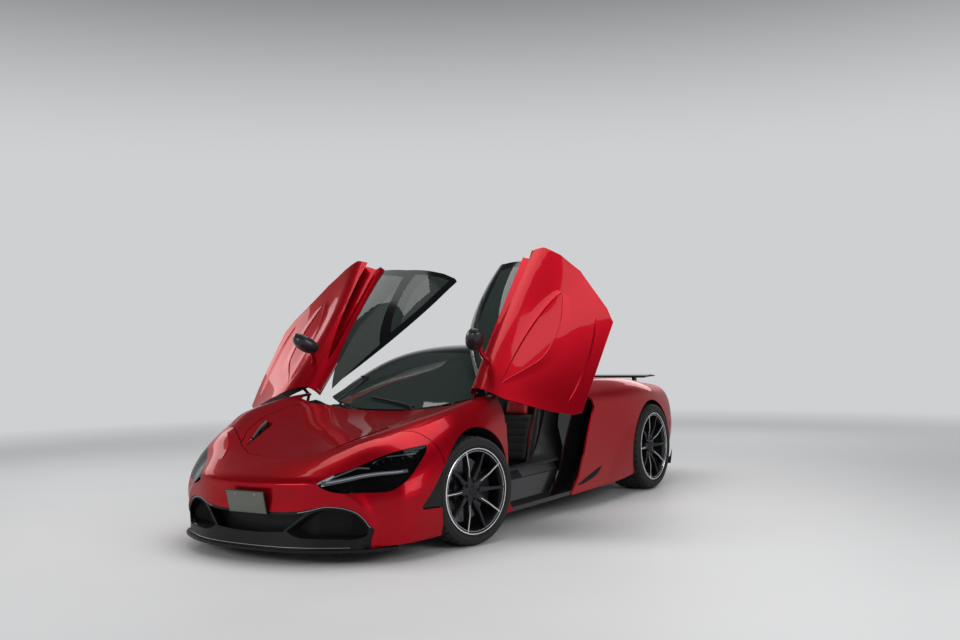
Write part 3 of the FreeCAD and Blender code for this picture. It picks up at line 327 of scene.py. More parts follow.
@dataclass(frozen=True)
class SatinMoulding(Finish):
    """Grained plastic."""

    colour: Colour = (0.012, 0.012, 0.013)
    roughness: float = 0.48
    grain: float = 900.0

    def build(self) -> bpy.types.Material:
        """Fine grain in colour, gloss and height.

        Returns:
            The material.
        """
        shader = Shader(self.name)
        grain = shader.noise(self.grain, 3.0)
        return shader.surface(
            Base_Color=shader.mix(grain, self.colour, lifted(self.colour, 1.5, 0.004)),
            Roughness=self.roughness + 0.14 * grain, Specular_IOR_Level=0.22,
            Normal=shader.bump(grain, 0.25, 0.0006))


@dataclass(frozen=True)
class CarbonWeave(Finish):
    """Twill carbon fibre under lacquer."""

    thread: float = 0.004

    def build(self) -> bpy.types.Material:
        """Diagonal steps of light and dark threads.

        Returns:
            The material.
        """
        shader = Shader(self.name)
        x, y, z = shader.parts(shader.place(1 / self.thread))
        across = (x + z).fraction() > 0.5
        step = ((x + z).floor() * 0.25 + y).fraction() > 0.5
        weave = across * 0.4 + step * 0.6
        return shader.surface(
            Base_Color=shader.mix(weave, (0.006, 0.006, 0.007), (0.028, 0.029, 0.032)),
            Roughness=0.34, Specular_IOR_Level=0.3, Coat_Weight=0.3, Coat_Roughness=0.04,
            Normal=shader.bump(weave, 0.12, 0.0004))


@dataclass(frozen=True)
class TintedGlass(Finish):
    """Car glass with a green-grey tint."""

    tint: Colour = (0.030, 0.042, 0.038)
    cover: float = 0.80
    gloss: float = 0.5

    def build(self) -> bpy.types.Material:
        """A smooth pane, partly see-through.

        Returns:
            The material.
        """
        shader = Shader(self.name)
        haze = shader.noise(6.0, 1.0)
        edge = shader.node("ShaderNodeFresnel", {}, {"IOR": 1.45})[0]
        return shader.surface(
            Base_Color=self.tint, Roughness=0.015 + 0.02 * haze,
            Alpha=self.cover + (1.0 - self.cover) * edge, Specular_IOR_Level=self.gloss)


@dataclass(frozen=True)
class Rubber(Finish):
    """Tyre rubber with a dusting of grey."""

    colour: Colour = (0.006, 0.006, 0.0065)

    def build(self) -> bpy.types.Material:
        """Matt rubber with a worn bloom.

        Returns:
            The material.
        """
        shader = Shader(self.name)
        bloom = shader.noise(14.0, 4.0)
        grain = shader.noise(500.0, 2.0)
        return shader.surface(
            Base_Color=shader.mix(bloom, self.colour, (0.013, 0.013, 0.0135)),
            Roughness=0.62 + 0.2 * bloom, Normal=shader.bump(grain, 0.2, 0.0005))


@dataclass(frozen=True)
class Alloy(Finish):
    """Painted or bare alloy."""

    colour: Colour = (0.05, 0.05, 0.055)
    roughness: float = 0.28
    metallic: float = 0.9

    def build(self) -> bpy.types.Material:
        """Metal with a fine cloud in its gloss.

        Returns:
            The material.
        """
        shader = Shader(self.name)
        cloud = shader.noise(60.0, 3.0)
        return shader.surface(
            Base_Color=shader.mix(cloud, self.colour, lifted(self.colour, 1.25)),
            Metallic=self.metallic, Roughness=self.roughness + 0.10 * cloud)


@dataclass(frozen=True)
class Hide(Finish):
    """Grained hide."""

    colour: Colour = (0.016, 0.015, 0.016)

    def build(self) -> bpy.types.Material:
        """Creased cells in height, gloss and colour.

        Returns:
            The material.
        """
        shader = Shader(self.name)
        crease = (shader.cells(520.0, "DISTANCE_TO_EDGE") * 6.0).at_most(1.0)
        return shader.surface(
            Base_Color=shader.mix(crease, self.colour, lifted(self.colour, 1.7, 0.006)),
            Roughness=0.52 - 0.10 * crease, Normal=shader.bump(crease, 0.35, 0.0005))


@dataclass(frozen=True)
class Glow(Finish):
    """A lens with light behind it, and also the dim glow of painted sheen on the headlamp's blade and crown
    strips.
    """

    colour: Colour = (1.0, 0.95, 0.88)
    strength: float = 1.2

    def build(self) -> bpy.types.Material:
        """Fine ribs that brighten and darken the light.

        Returns:
            The material.
        """
        shader = Shader(self.name)
        _, y, _ = shader.parts(shader.place())
        ribs = ((y * 900.0).sine() + 1.0) * 0.5
        return shader.surface(
            Base_Color=self.colour, Roughness=0.2, Emission_Strength=self.strength,
            Emission_Color=shader.mix(ribs, lifted(self.colour, 0.55), self.colour))


@dataclass(frozen=True)
class Iron(Finish):
    """A brake disc's ground face."""

    colour: Colour = (0.16, 0.16, 0.165)

    def build(self) -> bpy.types.Material:
        """Fine scores with a worn sheen.

        Returns:
            The material.
        """
        shader = Shader(self.name)
        score = shader.noise(420.0, 4.0)
        return shader.surface(
            Base_Color=shader.mix(score, self.colour, (0.26, 0.26, 0.265)), Metallic=0.9,
            Roughness=0.30 + 0.16 * score, Normal=shader.bump(score, 0.2, 0.0003))


@dataclass(frozen=True)
class Pile(Finish):
    """Carpet or webbing."""

    colour: Colour = (0.012, 0.012, 0.013)
    scale: float = 700.0

    def build(self) -> bpy.types.Material:
        """Short tufts in colour and height.

        Returns:
            The material.
        """
        shader = Shader(self.name)
        tuft = shader.noise(self.scale, 4.0)
        return shader.surface(
            Base_Color=shader.mix(tuft, self.colour, lifted(self.colour, 2.2, 0.006)),
            Roughness=0.78 + 0.14 * tuft, Normal=shader.bump(tuft, 0.7, 0.0012))


@dataclass(frozen=True)
class DisplayGlass(Finish):
    """A dark screen with faint generic bars."""

    def build(self) -> bpy.types.Material:
        """A few soft bars of light under glass.

        Returns:
            The material.
        """
        shader = Shader(self.name)
        _, y, z = shader.parts(shader.place())
        bars = ((z * 130.0).fraction() > 0.86) * ((y * 17.0).fraction() > 0.25)
        return shader.surface(
            Base_Color=(0.006, 0.007, 0.009), Roughness=0.08 + 0.04 * shader.noise(40.0),
            Emission_Color=shader.mix(bars, (0.002, 0.003, 0.005), (0.10, 0.13, 0.16)),
            Emission_Strength=1.0, Coat_Weight=1.0)


PAINT = CandyPaint("candy red lacquer")
GLOSS_BLACK = GlossMoulding("gloss black")
ROOF_BLACK = GlossMoulding("roof black", (0.006, 0.0065, 0.007), 0.12)
SATIN_BLACK = SatinMoulding("satin black")
# Black of the duct meshes and linings, and also the flat sheet of painted shade laid on each flank in place
# of its slot.
DUCT_BLACK_SLOT_SHADE = SatinMoulding("duct black", (0.0025, 0.0025, 0.003), 0.66)
RUBBER_BLACK = SatinMoulding("seal rubber", (0.034, 0.037, 0.042), 0.42, 1400.0)
BLADE_BLACK = SatinMoulding("splitter black", (0.004, 0.004, 0.0045), 0.40)
CARBON = CarbonWeave("carbon twill")
GLASS = TintedGlass("tinted glass")
LAMP_COVER = TintedGlass("smoked lamp cover", (0.003, 0.003, 0.004), 0.36, 0.22)
LENS = TintedGlass("projector lens", (0.22, 0.24, 0.27), 0.80, 0.9)
TYRE = Rubber("tyre rubber")
WHEEL_GREY = Alloy("dark wheel enamel", (0.035, 0.036, 0.04), 0.30, 0.85)
MACHINED = Alloy("machined alloy", (0.72, 0.72, 0.74), 0.16, 1.0)
EDGE_SILVER = Alloy("satin silver edge", (0.42, 0.42, 0.43), 0.26, 1.0)
LAMP_SILVER = Alloy("lamp silver", (0.52, 0.53, 0.56), 0.30, 0.9)
CALIPER = Alloy("dark caliper", (0.03, 0.03, 0.033), 0.34, 0.6)
CAST = Alloy("cast alloy", (0.30, 0.30, 0.31), 0.42, 0.95)
STEEL = Alloy("brushed steel", (0.42, 0.42, 0.43), 0.34, 1.0)
MIRROR = Alloy("mirror silver", (0.80, 0.82, 0.83), 0.02, 1.0)
DISC_IRON = Iron("ground iron")
HIDE = Hide("black hide")
RED_HIDE = Hide("red hide", (0.30, 0.008, 0.012))
CARPET = Pile("carpet")
FELT = Pile("lining felt", (0.020, 0.020, 0.021), 900.0)
WEBBING = Pile("red webbing", (0.22, 0.008, 0.010), 1500.0)
DISPLAY = DisplayGlass("display glass")
PLATE = SatinMoulding("grey-green plate", (0.115, 0.125, 0.105), 0.36, 500.0)
TAIL_LENS = GlossMoulding("red lens", (0.30, 0.004, 0.006), 0.08)
LAMP_LIGHT = Glow("lamp light", (0.80, 0.86, 0.95), 0.90)
# This glow is no lamp: painted sheen on the headlamp's silver blade and its crown strip.
LAMP_SHEEN_GLOW = Glow("lamp band", (0.34, 0.37, 0.41), 0.45)
TAIL_LIGHT = Glow("tail light", (0.9, 0.02, 0.02), 0.8)


# The studio


@dataclass
class Studio:
    """Floor, lights, backdrop and camera."""

    eye: Point = (6.647, 4.320, 1.211)
    heading: float = -148.16
    climb: float = 1.25
    roll: float = -1.15
    lens: float = 39.6
    backdrop: Colour = (0.62, 0.63, 0.64)
    surround: Colour = (0.85, 0.87, 0.90)
    surround_strength: float = 0.30
    ceiling: Colour = (0.050, 0.052, 0.056)
    ceiling_rise: Pair = (0.16, 0.42)
    floor_near: float = 4.5
    floor_far: float = 11.0

    def camera(self) -> None:
        """Sets the camera at the photograph's angle."""
        yaw, pitch, roll = (math.radians(a) for a in (self.heading, self.climb, self.roll))
        ahead = Vector((math.cos(pitch) * math.cos(yaw), math.cos(pitch) * math.sin(yaw),
                        math.sin(pitch)))
        right = ahead.cross(Vector((0, 0, 1))).normalized()
        up = right.cross(ahead)
        right, up = (math.cos(roll) * right + math.sin(roll) * up,
                     math.cos(roll) * up - math.sin(roll) * right)
        data = bpy.data.cameras.new("camera")
        data.lens = self.lens
        data.sensor_width = 36.0
        data.clip_end = 200.0
        eye = bpy.data.objects.new("camera", data)
        turn = Matrix((right, up, -ahead)).transposed().to_4x4()
        eye.matrix_world = Matrix.Translation(self.eye) @ turn
        bpy.context.scene.collection.objects.link(eye)
        bpy.context.scene.camera = eye

    def floor(self) -> None:
        """Lays the pale floor that keeps the car's shadow and fades into the backdrop."""
        mesh = bmesh.new()
        bmesh.ops.create_grid(mesh, x_segments=1, y_segments=1, size=60.0)
        data = bpy.data.meshes.new("floor")
        mesh.to_mesh(data)
        mesh.free()
        slab = bpy.data.objects.new("floor", data)
        bpy.context.scene.collection.objects.link(slab)
        shader = Shader("studio floor")
        cloud = shader.noise(1.5, 2.0)
        x, y, _ = shader.parts(shader.place())
        away = ((x * x + y * y).root() - self.floor_near) / (self.floor_far - self.floor_near)
        fade = away.at_least(0.0).at_most(1.0)
        near = shader.node("ShaderNodeBsdfPrincipled", {}, {
            "Base Color": shader.mix(cloud, (0.80, 0.80, 0.80), (0.84, 0.84, 0.84)),
            "Roughness": 0.5 + 0.1 * cloud, "Specular IOR Level": 0.2})[0]
        far = shader.node("ShaderNodeEmission", {}, {"Color": (*self.backdrop, 1.0)})[0]
        mixed = shader.node("ShaderNodeMixShader", {}, {0: fade, 1: near, 2: far})[0]
        shader.tree.links.new(mixed.socket, shader.output.inputs[0])
        data.materials.append(shader.material)

    def light(self, name: str, spot: Point, aim: Point, size: Pair, watts: float) -> None:
        """Hangs one soft box.

        Args:
            name: its name.
            spot: its place.
            aim: what it points at.
            size: its width and height.
            watts: its power.
        """
        data = bpy.data.lights.new(name, "AREA")
        data.shape = "RECTANGLE"
        data.size, data.size_y = size
        data.energy = watts
        lamp = bpy.data.objects.new(name, data)
        lamp.location = spot
        lamp.rotation_euler = (Vector(aim) - Vector(spot)).to_track_quat("-Z", "Y").to_euler()
        bpy.context.scene.collection.objects.link(lamp)

    def ceiling_share(self, tree: bpy.types.NodeTree) -> bpy.types.NodeSocket:
        """How much of the dark ceiling lies in a direction.

        Args:
            tree: the world's nodes.

        Returns:
            0 at the horizon and below, 1 well above it.
        """
        spot = tree.nodes.new("ShaderNodeTexCoord")
        split = tree.nodes.new("ShaderNodeSeparateXYZ")
        ramp = tree.nodes.new("ShaderNodeMapRange")
        ramp.interpolation_type = "SMOOTHSTEP"
        ramp.inputs["From Min"].default_value, ramp.inputs["From Max"].default_value = self.ceiling_rise
        tree.links.new(spot.outputs["Generated"], split.inputs[0])
        tree.links.new(split.outputs["Z"], ramp.inputs["Value"])
        return ramp.outputs[0]

    def world(self) -> None:
        """A soft surround for light, and the backdrop and ceiling where they are mirrored."""
        world = bpy.data.worlds.new("surround")
        world.use_nodes = True
        bpy.context.scene.world = world
        tree = world.node_tree
        tree.nodes.clear()
        path = tree.nodes.new("ShaderNodeLightPath")
        seen = path.outputs["Is Camera Ray"]
        for ray in ("Is Glossy Ray", "Is Transmission Ray"):
            either = tree.nodes.new("ShaderNodeMath")
            either.operation = "MAXIMUM"
            tree.links.new(seen, either.inputs[0])
            tree.links.new(path.outputs[ray], either.inputs[1])
            seen = either.outputs[0]
        mixed = tree.nodes.new("ShaderNodeMixShader")
        output = tree.nodes.new("ShaderNodeOutputWorld")
        for socket, (colour, strength) in enumerate(
                ((self.surround, self.surround_strength), (self.backdrop, 1.0)), start=1):
            ground = tree.nodes.new("ShaderNodeBackground")
            ground.inputs["Color"].default_value = (*colour, 1.0)
            ground.inputs["Strength"].default_value = strength
            tree.links.new(ground.outputs[0], mixed.inputs[socket])
            if socket == 2:
                tint = tree.nodes.new("ShaderNodeMix")
                tint.data_type = "RGBA"
                tint.inputs[6].default_value = (*self.backdrop, 1.0)
                tint.inputs[7].default_value = (*self.ceiling, 1.0)
                tree.links.new(self.ceiling_share(tree), tint.inputs[0])
                tree.links.new(tint.outputs[2], ground.inputs["Color"])
        tree.links.new(seen, mixed.inputs[0])
        tree.links.new(mixed.outputs[0], output.inputs[0])

    def build(self) -> None:
        """Sets up the whole studio."""
        self.camera()
        self.floor()
        self.world()
        self.light("overhead", (0.3, 0.0, 5.5), (0, 0, 0), (6.0, 2.4), 150.0)
        self.light("left box", (2.5, 6.0, 3.0), (0.3, 0, 0.5), (4.0, 2.0), 95.0)
        self.light("nose box", (7.5, -1.5, 2.8), (1.0, 0, 0.5), (3.0, 1.5), 80.0)
        self.light("right box", (0.0, -6.0, 3.2), (0, 0, 0.6), (4.0, 1.6), 55.0)
        self.light("tail box", (-7.0, 0.0, 3.0), (0, 0, 0.6), (3.0, 1.6), 55.0)
        bpy.context.scene.view_settings.view_transform = "Standard"


# Mesh tools


@dataclass
class Piece:
    """A mesh under construction that ends as one object on one body."""

    name: str
    body: str
    finishes: Sequence[Finish]
    mesh: bmesh.types.BMesh = field(default_factory=bmesh.new)

    def paint_since(self, before: int, finish: int) -> None:
        """Gives a finish to the faces made since there were so many.

        Args:
            before: how many faces there were.
            finish: which finish they take.
        """
        self.mesh.faces.ensure_lookup_table()
        for face in self.mesh.faces[before:]:
            face.material_index = finish

    def sheet(self, across: int, along: int, place: Callable[[float, float], Point],
              closed: bool = False, finish: int = 0) -> list[bmesh.types.BMVert]:
        """Lays a grid over a surface.

        Args:
            across: its number of faces in the first direction.
            along: its number of faces in the second.
            place: the point for two parameters from 0 to 1.
            closed: whether the first direction runs round to its start.
            finish: which finish its faces take.

        Returns:
            Its vertices.
        """
        before = len(self.mesh.faces)
        verts = bmesh.ops.create_grid(self.mesh, x_segments=across, y_segments=along, size=0.5)["verts"]
        for vert in verts:
            vert.co = place(vert.co.x + 0.5, vert.co.y + 0.5)
        self.paint_since(before, finish)
        if closed:
            bmesh.ops.remove_doubles(self.mesh, verts=verts, dist=1e-6)
        return [vert for vert in verts if vert.is_valid]

    def sweep(self, path: Sequence[Vector], ring: Sequence[Pair],
              ups: Optional[Sequence[Vector]] = None, finish: int = 0,
              grow: Callable[[float], float] = lambda share: 1.0) -> None:
        """Carries a closed outline along a path and closes its ends.

        Args:
            path: the points it passes.
            ring: the outline, as distances to the side and up.
            ups: the upward direction at each point, or the world's.
            finish: which finish it takes.
            grow: the outline's scale for a share of the path.
        """
        last = len(path) - 1
        frames = []
        for k, point in enumerate(path):
            ahead = (path[min(k + 1, last)] - path[max(k - 1, 0)]).normalized()
            up = Vector(ups[k]) if ups else Vector((0, 0, 1))
            side = ahead.cross(up).normalized()
            frames.append((point, side, side.cross(ahead).normalized()))
        count = len(ring)

        def place(u: float, v: float) -> Vector:
            """The point of a share of the outline and of the path.

            Args:
                u: the share of the way round the outline.
                v: the share of the path's length.

            Returns:
                The point.
            """
            k = round(v * last)
            point, side, up = frames[k]
            across, rise = ring[round(u * count) % count]
            scale = grow(v)
            return point + side * (across * scale) + up * (rise * scale)

        verts = self.sheet(count, last, place, True, finish)
        edges = {edge for vert in verts for edge in vert.link_edges if edge.is_boundary}
        bmesh.ops.holes_fill(self.mesh, edges=list(edges))
        for edge in edges:
            for face in edge.link_faces:
                face.material_index = finish

    def tube(self, path: Sequence[Vector], radius: float, sides: int = 8, finish: int = 0,
             grow: Callable[[float], float] = lambda share: 1.0,
             ups: Optional[Sequence[Vector]] = None) -> None:
        """Carries a circle along a path.

        Args:
            path: the points it passes.
            radius: the circle's radius.
            sides: how many sides the circle has.
            finish: which finish it takes.
            grow: the circle's scale for a share of the path.
            ups: the upward direction at each point, or the world's.
        """
        ring = [(radius * math.cos(math.tau * k / sides), radius * math.sin(math.tau * k / sides))
                for k in range(sides)]
        self.sweep(path, ring, ups, finish, grow)

    def strip(self, path: Sequence[Vector], ups: Sequence[Vector], width: float, height: float,
              finish: int = 0, grow: Callable[[float], float] = lambda share: 1.0) -> None:
        """Carries a low bar with broken edges along a path on a surface.

        Args:
            path: the points it passes.
            ups: the surface's direction at each of them.
            width: the bar's width.
            height: how far it stands out, and how deep it sits.
            finish: which finish it takes.
            grow: the bar's scale for a share of the path.
        """
        half, soft = width / 2, min(width, height) * 0.3
        ring = [(-half, -height), (half, -height), (half, height - soft), (half - soft, height),
                (soft - half, height), (-half, height - soft)]
        self.sweep(path, ring, ups, finish, grow)

    def border(self, corners: Sequence[Vector], up: Point, width: float, height: float,
               finish: int = 0) -> None:
        """Lays a low bar along each side of an outline.

        Args:
            corners: the outline's corners.
            up: the direction that the bars stand in.
            width: their width.
            height: how far they stand out.
            finish: which finish they take.
        """
        for a, b in zip(corners, [*corners[1:], corners[0]]):
            self.strip([a, a.lerp(b, 0.5), b], [Vector(up)] * 3, width, height, finish)

    def turned(self, profile: Sequence[Pair], steps: int, finish: int = 0) -> None:
        """Spins a profile about the Y axis, closed unless it starts and ends on the axis.

        Args:
            profile: its points, as radius and distance outward.
            steps: how many steps make the turn.
            finish: which finish it takes.
        """
        before = len(self.mesh.faces)
        verts = [self.mesh.verts.new((radius, out, 0)) for radius, out in profile]
        pairs = list(zip(verts, verts[1:]))
        if max(profile[0][0], profile[-1][0]) > 1e-9:
            pairs.append((verts[-1], verts[0]))
        edges = [self.mesh.edges.new(pair) for pair in pairs]
        bmesh.ops.spin(self.mesh, geom=verts + edges, cent=(0, 0, 0), axis=(0, 1, 0),
                       dvec=(0, 0, 0), angle=math.tau, steps=steps, use_merge=True)
        self.paint_since(before, finish)
        bmesh.ops.remove_doubles(self.mesh, verts=list(self.mesh.verts), dist=1e-6)

    def cone(self, radii: Pair, depth: float, segments: int, matrix: Matrix,
             finish: int = 0) -> None:
        """A capped cone or cylinder along its own Z axis.

        Args:
            radii: the radius at its foot and at its top.
            depth: its length.
            segments: how many sides it has.
            matrix: where it goes.
            finish: which finish it takes.
        """
        before = len(self.mesh.faces)
        bmesh.ops.create_cone(self.mesh, cap_ends=True, segments=segments, radius1=radii[0],
                              radius2=radii[1], depth=depth, matrix=matrix)
        self.paint_since(before, finish)

    def wires(self, thickness: float) -> None:
        """Turns every face into wire along its edges."""
        bmesh.ops.wireframe(self.mesh, faces=list(self.mesh.faces), thickness=thickness,
                            use_replace=True, use_even_offset=True, use_boundary=True)

    def block(self, low: Point, high: Point, soft: float = 0.003, finish: int = 0,
              matrix: Optional[Matrix] = None) -> None:
        """A box between two corners, with its edges rounded off.

        Args:
            low: its lowest corner.
            high: its highest corner.
            soft: how wide its edges are rounded.
            finish: which finish it takes.
            matrix: where it goes.
        """
        before = len(self.mesh.faces)
        size = [b - a for a, b in zip(low, high)]
        middle = [(a + b) / 2 for a, b in zip(low, high)]
        place = Matrix.Translation(middle) @ Matrix.Diagonal((*size, 1))
        made = bmesh.ops.create_cube(self.mesh, size=1.0, matrix=(matrix or Matrix()) @ place)["verts"]
        edges = {edge for vert in made for edge in vert.link_edges}
        if soft:
            bmesh.ops.bevel(self.mesh, geom=list(edges), offset=soft, segments=2, profile=0.5,
                            affect="EDGES", material=-1)
        self.paint_since(before, finish)

    def slab(self, outline: Sequence[Point], push: Point, soft: float = 0.0,
             finish: int = 0) -> None:
        """A flat outline pushed out to a plate.

        Args:
            outline: its corners.
            push: how far and which way it is pushed.
            soft: how wide the pushed rim is rounded.
            finish: which finish it takes.
        """
        before = len(self.mesh.faces)
        face = self.mesh.faces.new([self.mesh.verts.new(point) for point in outline])
        top = bmesh.ops.extrude_face_region(self.mesh, geom=[face])["geom"]
        raised = [item for item in top if isinstance(item, bmesh.types.BMVert)]
        bmesh.ops.translate(self.mesh, verts=raised, vec=push)
        rim = [edge for edge in {e for v in raised for e in v.link_edges}
               if all(vert in raised for vert in edge.verts)]
        if soft:
            bmesh.ops.bevel(self.mesh, geom=rim, offset=soft, segments=2, profile=0.5,
                            affect="EDGES", material=-1)
        self.paint_since(before, finish)

    def add(self, unit: "Piece", matrix: Matrix) -> None:
        """Takes over another mesh, which ends there.

        Args:
            unit: the mesh that is taken over.
            matrix: where it goes.
        """
        unit.move(matrix)
        data = bpy.data.meshes.new(unit.name)
        unit.mesh.to_mesh(data)
        unit.mesh.free()
        self.mesh.from_mesh(data)
        bpy.data.meshes.remove(data)

    def crease(self, skin: "Skin", line: Sequence[Point], way: Point, height: float,
               flanks: Pair, finish: int = 0) -> None:
        """Raises a pressed crease out of a panel, with one broad and one steep flank.

        Args:
            skin: the panel it is pressed in.
            line: the crease's crown, near the panel.
            way: the direction that carries it onto the panel.
            height: its height at the middle of its length.
            flanks: the widths of its flanks, to the left and to the right of the line.
            finish: which finish it takes.
        """
        path = curve(line, 8)
        last = len(path) - 1
        steps = 8

        def place(u: float, v: float) -> Vector:
            """A point across the crease, for a share of its length.

            Args:
                u: the share of the way across.
                v: the share of the crease's length.

            Returns:
                The point.
            """
            k = round(v * last)
            ahead = (path[min(k + 1, last)] - path[max(k - 1, 0)]).normalized()
            side = ahead.cross(Vector(way)).normalized()
            share = round(u * steps) / steps * 2 - 1
            taper = math.sin(math.pi * min(1.0, max(0.0, v))) ** 0.6
            width = flanks[0] if share < 0 else flanks[1]
            spot, normal = skin.drop(path[k] + side * (share * width * (0.3 + 0.7 * taper)), way)
            return spot + normal * (height * taper * (1 - abs(share)) ** 2 - 0.0004)

        self.sheet(steps, last, place, finish=finish)

    def move(self, matrix: Matrix) -> None:
        """Moves all that the mesh holds so far."""
        bmesh.ops.transform(self.mesh, matrix=matrix, verts=list(self.mesh.verts))

    def done(self, smooth: float = 35.0, at: Optional[Matrix] = None,
             modify: Callable[[bpy.types.Object], None] = lambda o: None,
             replaces: Sequence[str] = ()) -> bpy.types.Object:
        """Ends the piece.

        Args:
            smooth: the angle in degrees past which an edge stays sharp.
            at: where the whole piece goes first.
            modify: adds modifiers to the object.
            replaces: the frame's nodes whose place it takes.

        Returns:
            The object.
        """
        if at:
            self.move(at)
        bmesh.ops.recalc_face_normals(self.mesh, faces=list(self.mesh.faces))
        data = bpy.data.meshes.new(self.name)
        self.mesh.to_mesh(data)
        self.mesh.free()
        data.shade_smooth()
        data.set_sharp_from_angle(angle=math.radians(smooth))
        for finish in self.finishes:
            data.materials.append(finish.material())
        piece = bpy.data.objects.new(self.name, data)
        bpy.context.scene.collection.objects.link(piece)
        modify(piece)
        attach(piece, self.body)
        if replaces:
            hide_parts(*replaces)
        return piece


def rounded(piece: bpy.types.Object) -> None:
    """Subdivides a piece's surface once."""
    step = piece.modifiers.new("rounded", "SUBSURF")
    step.levels = step.render_levels = 1


def squared(value: float, power: float) -> float:
    """A power of a number that keeps its sign, as a rounded box's outline takes it."""
    return math.copysign(abs(value) ** power, value)


def standing(spot: Point, way: Vector, axis: str = "Z") -> Matrix:
    """Puts something at a point, with one of its axes along a direction.

    Args:
        spot: the point.
        way: the direction.
        axis: the axis that turns to it, Z or Y.

    Returns:
        The place.
    """
    other = "Y" if axis == "Z" else "Z"
    return Matrix.Translation(spot) @ way.to_track_quat(axis, other).to_matrix().to_4x4()


def curve(points: Sequence[Point], steps: int) -> list[Vector]:
    """A smooth line through some points.

    Args:
        points: the points.
        steps: how many stretches lie between two of them.

    Returns:
        The line's points.
    """
    knots = [Vector(p) for p in points]
    ends = [knots[0] * 2 - knots[1], *knots, knots[-1] * 2 - knots[-2]]
    line = []
    for a, b, c, d in zip(ends, ends[1:], ends[2:], ends[3:]):
        for k in range(steps):
            t = k / steps
            line.append(0.5 * (2 * b + (c - a) * t + (2 * a - 5 * b + 4 * c - d) * t * t
                               + (3 * b - a - 3 * c + d) * t ** 3))
    return line + [knots[-1]]


class Skin:
    """The outside of some of the frame's nodes, to lay pieces on."""

    def __init__(self, *nodes: str, shut: Optional[Matrix] = None) -> None:
        """Gathers the nodes' triangles.

        Args:
            nodes: their names.
            shut: a move that is applied first, such as closing a door.
        """
        gathered = bmesh.new()
        for node in nodes:
            gathered.from_mesh(frame["nodes"][node].data)
        if shut:
            bmesh.ops.transform(gathered, matrix=shut, verts=list(gathered.verts))
        self.tree = BVHTree.FromBMesh(gathered)
        gathered.free()

    def drop(self, start: Point, way: Point, lift: float = 0.0) -> tuple[Vector, Vector]:
        """Carries a point along a direction onto the skin.

        Args:
            start: where it starts.
            way: the direction.
            lift: how far it stays off the skin.

        Returns:
            The point and the skin's direction there, facing back along the way.
        """
        spot, normal, _, _ = self.tree.ray_cast(Vector(start), Vector(way).normalized())
        if spot is None:
            spot, normal, _, _ = self.tree.find_nearest(Vector(start))
        if normal.dot(Vector(way)) > 0:
            normal = -normal
        return spot + normal * lift, normal

    def drape(self, points: Sequence[Point], way: Point, lift: float,
              steps: int = 8) -> tuple[list[Vector], list[Vector]]:
        """Lays a smooth line on the skin.

        Args:
            points: the line's points before they are carried.
            way: the direction that carries them.
            lift: how far the line stays off the skin.
            steps: how many stretches lie between two points.

        Returns:
            The line's points and the skin's directions there.
        """
        landed = [self.drop(p, way, lift) for p in curve(points, steps)]
        return [spot for spot, _ in landed], [normal for _, normal in landed]


def both(build: Callable[[Side], None]) -> None:
    """Builds something on the left and on the right."""
    for side in Side:
        build(side)


def flipped(side: Side) -> Matrix:
    """Carries what is drawn on the left over to a side."""
    return Matrix.Diagonal((1, side.value, 1, 1))


def joint_row(name: str) -> dict:
    """The record's row of a joint."""
    return next(row for row in frame["record"]["behaviour"]["joints"] if row["name"] == name)


# Wheels


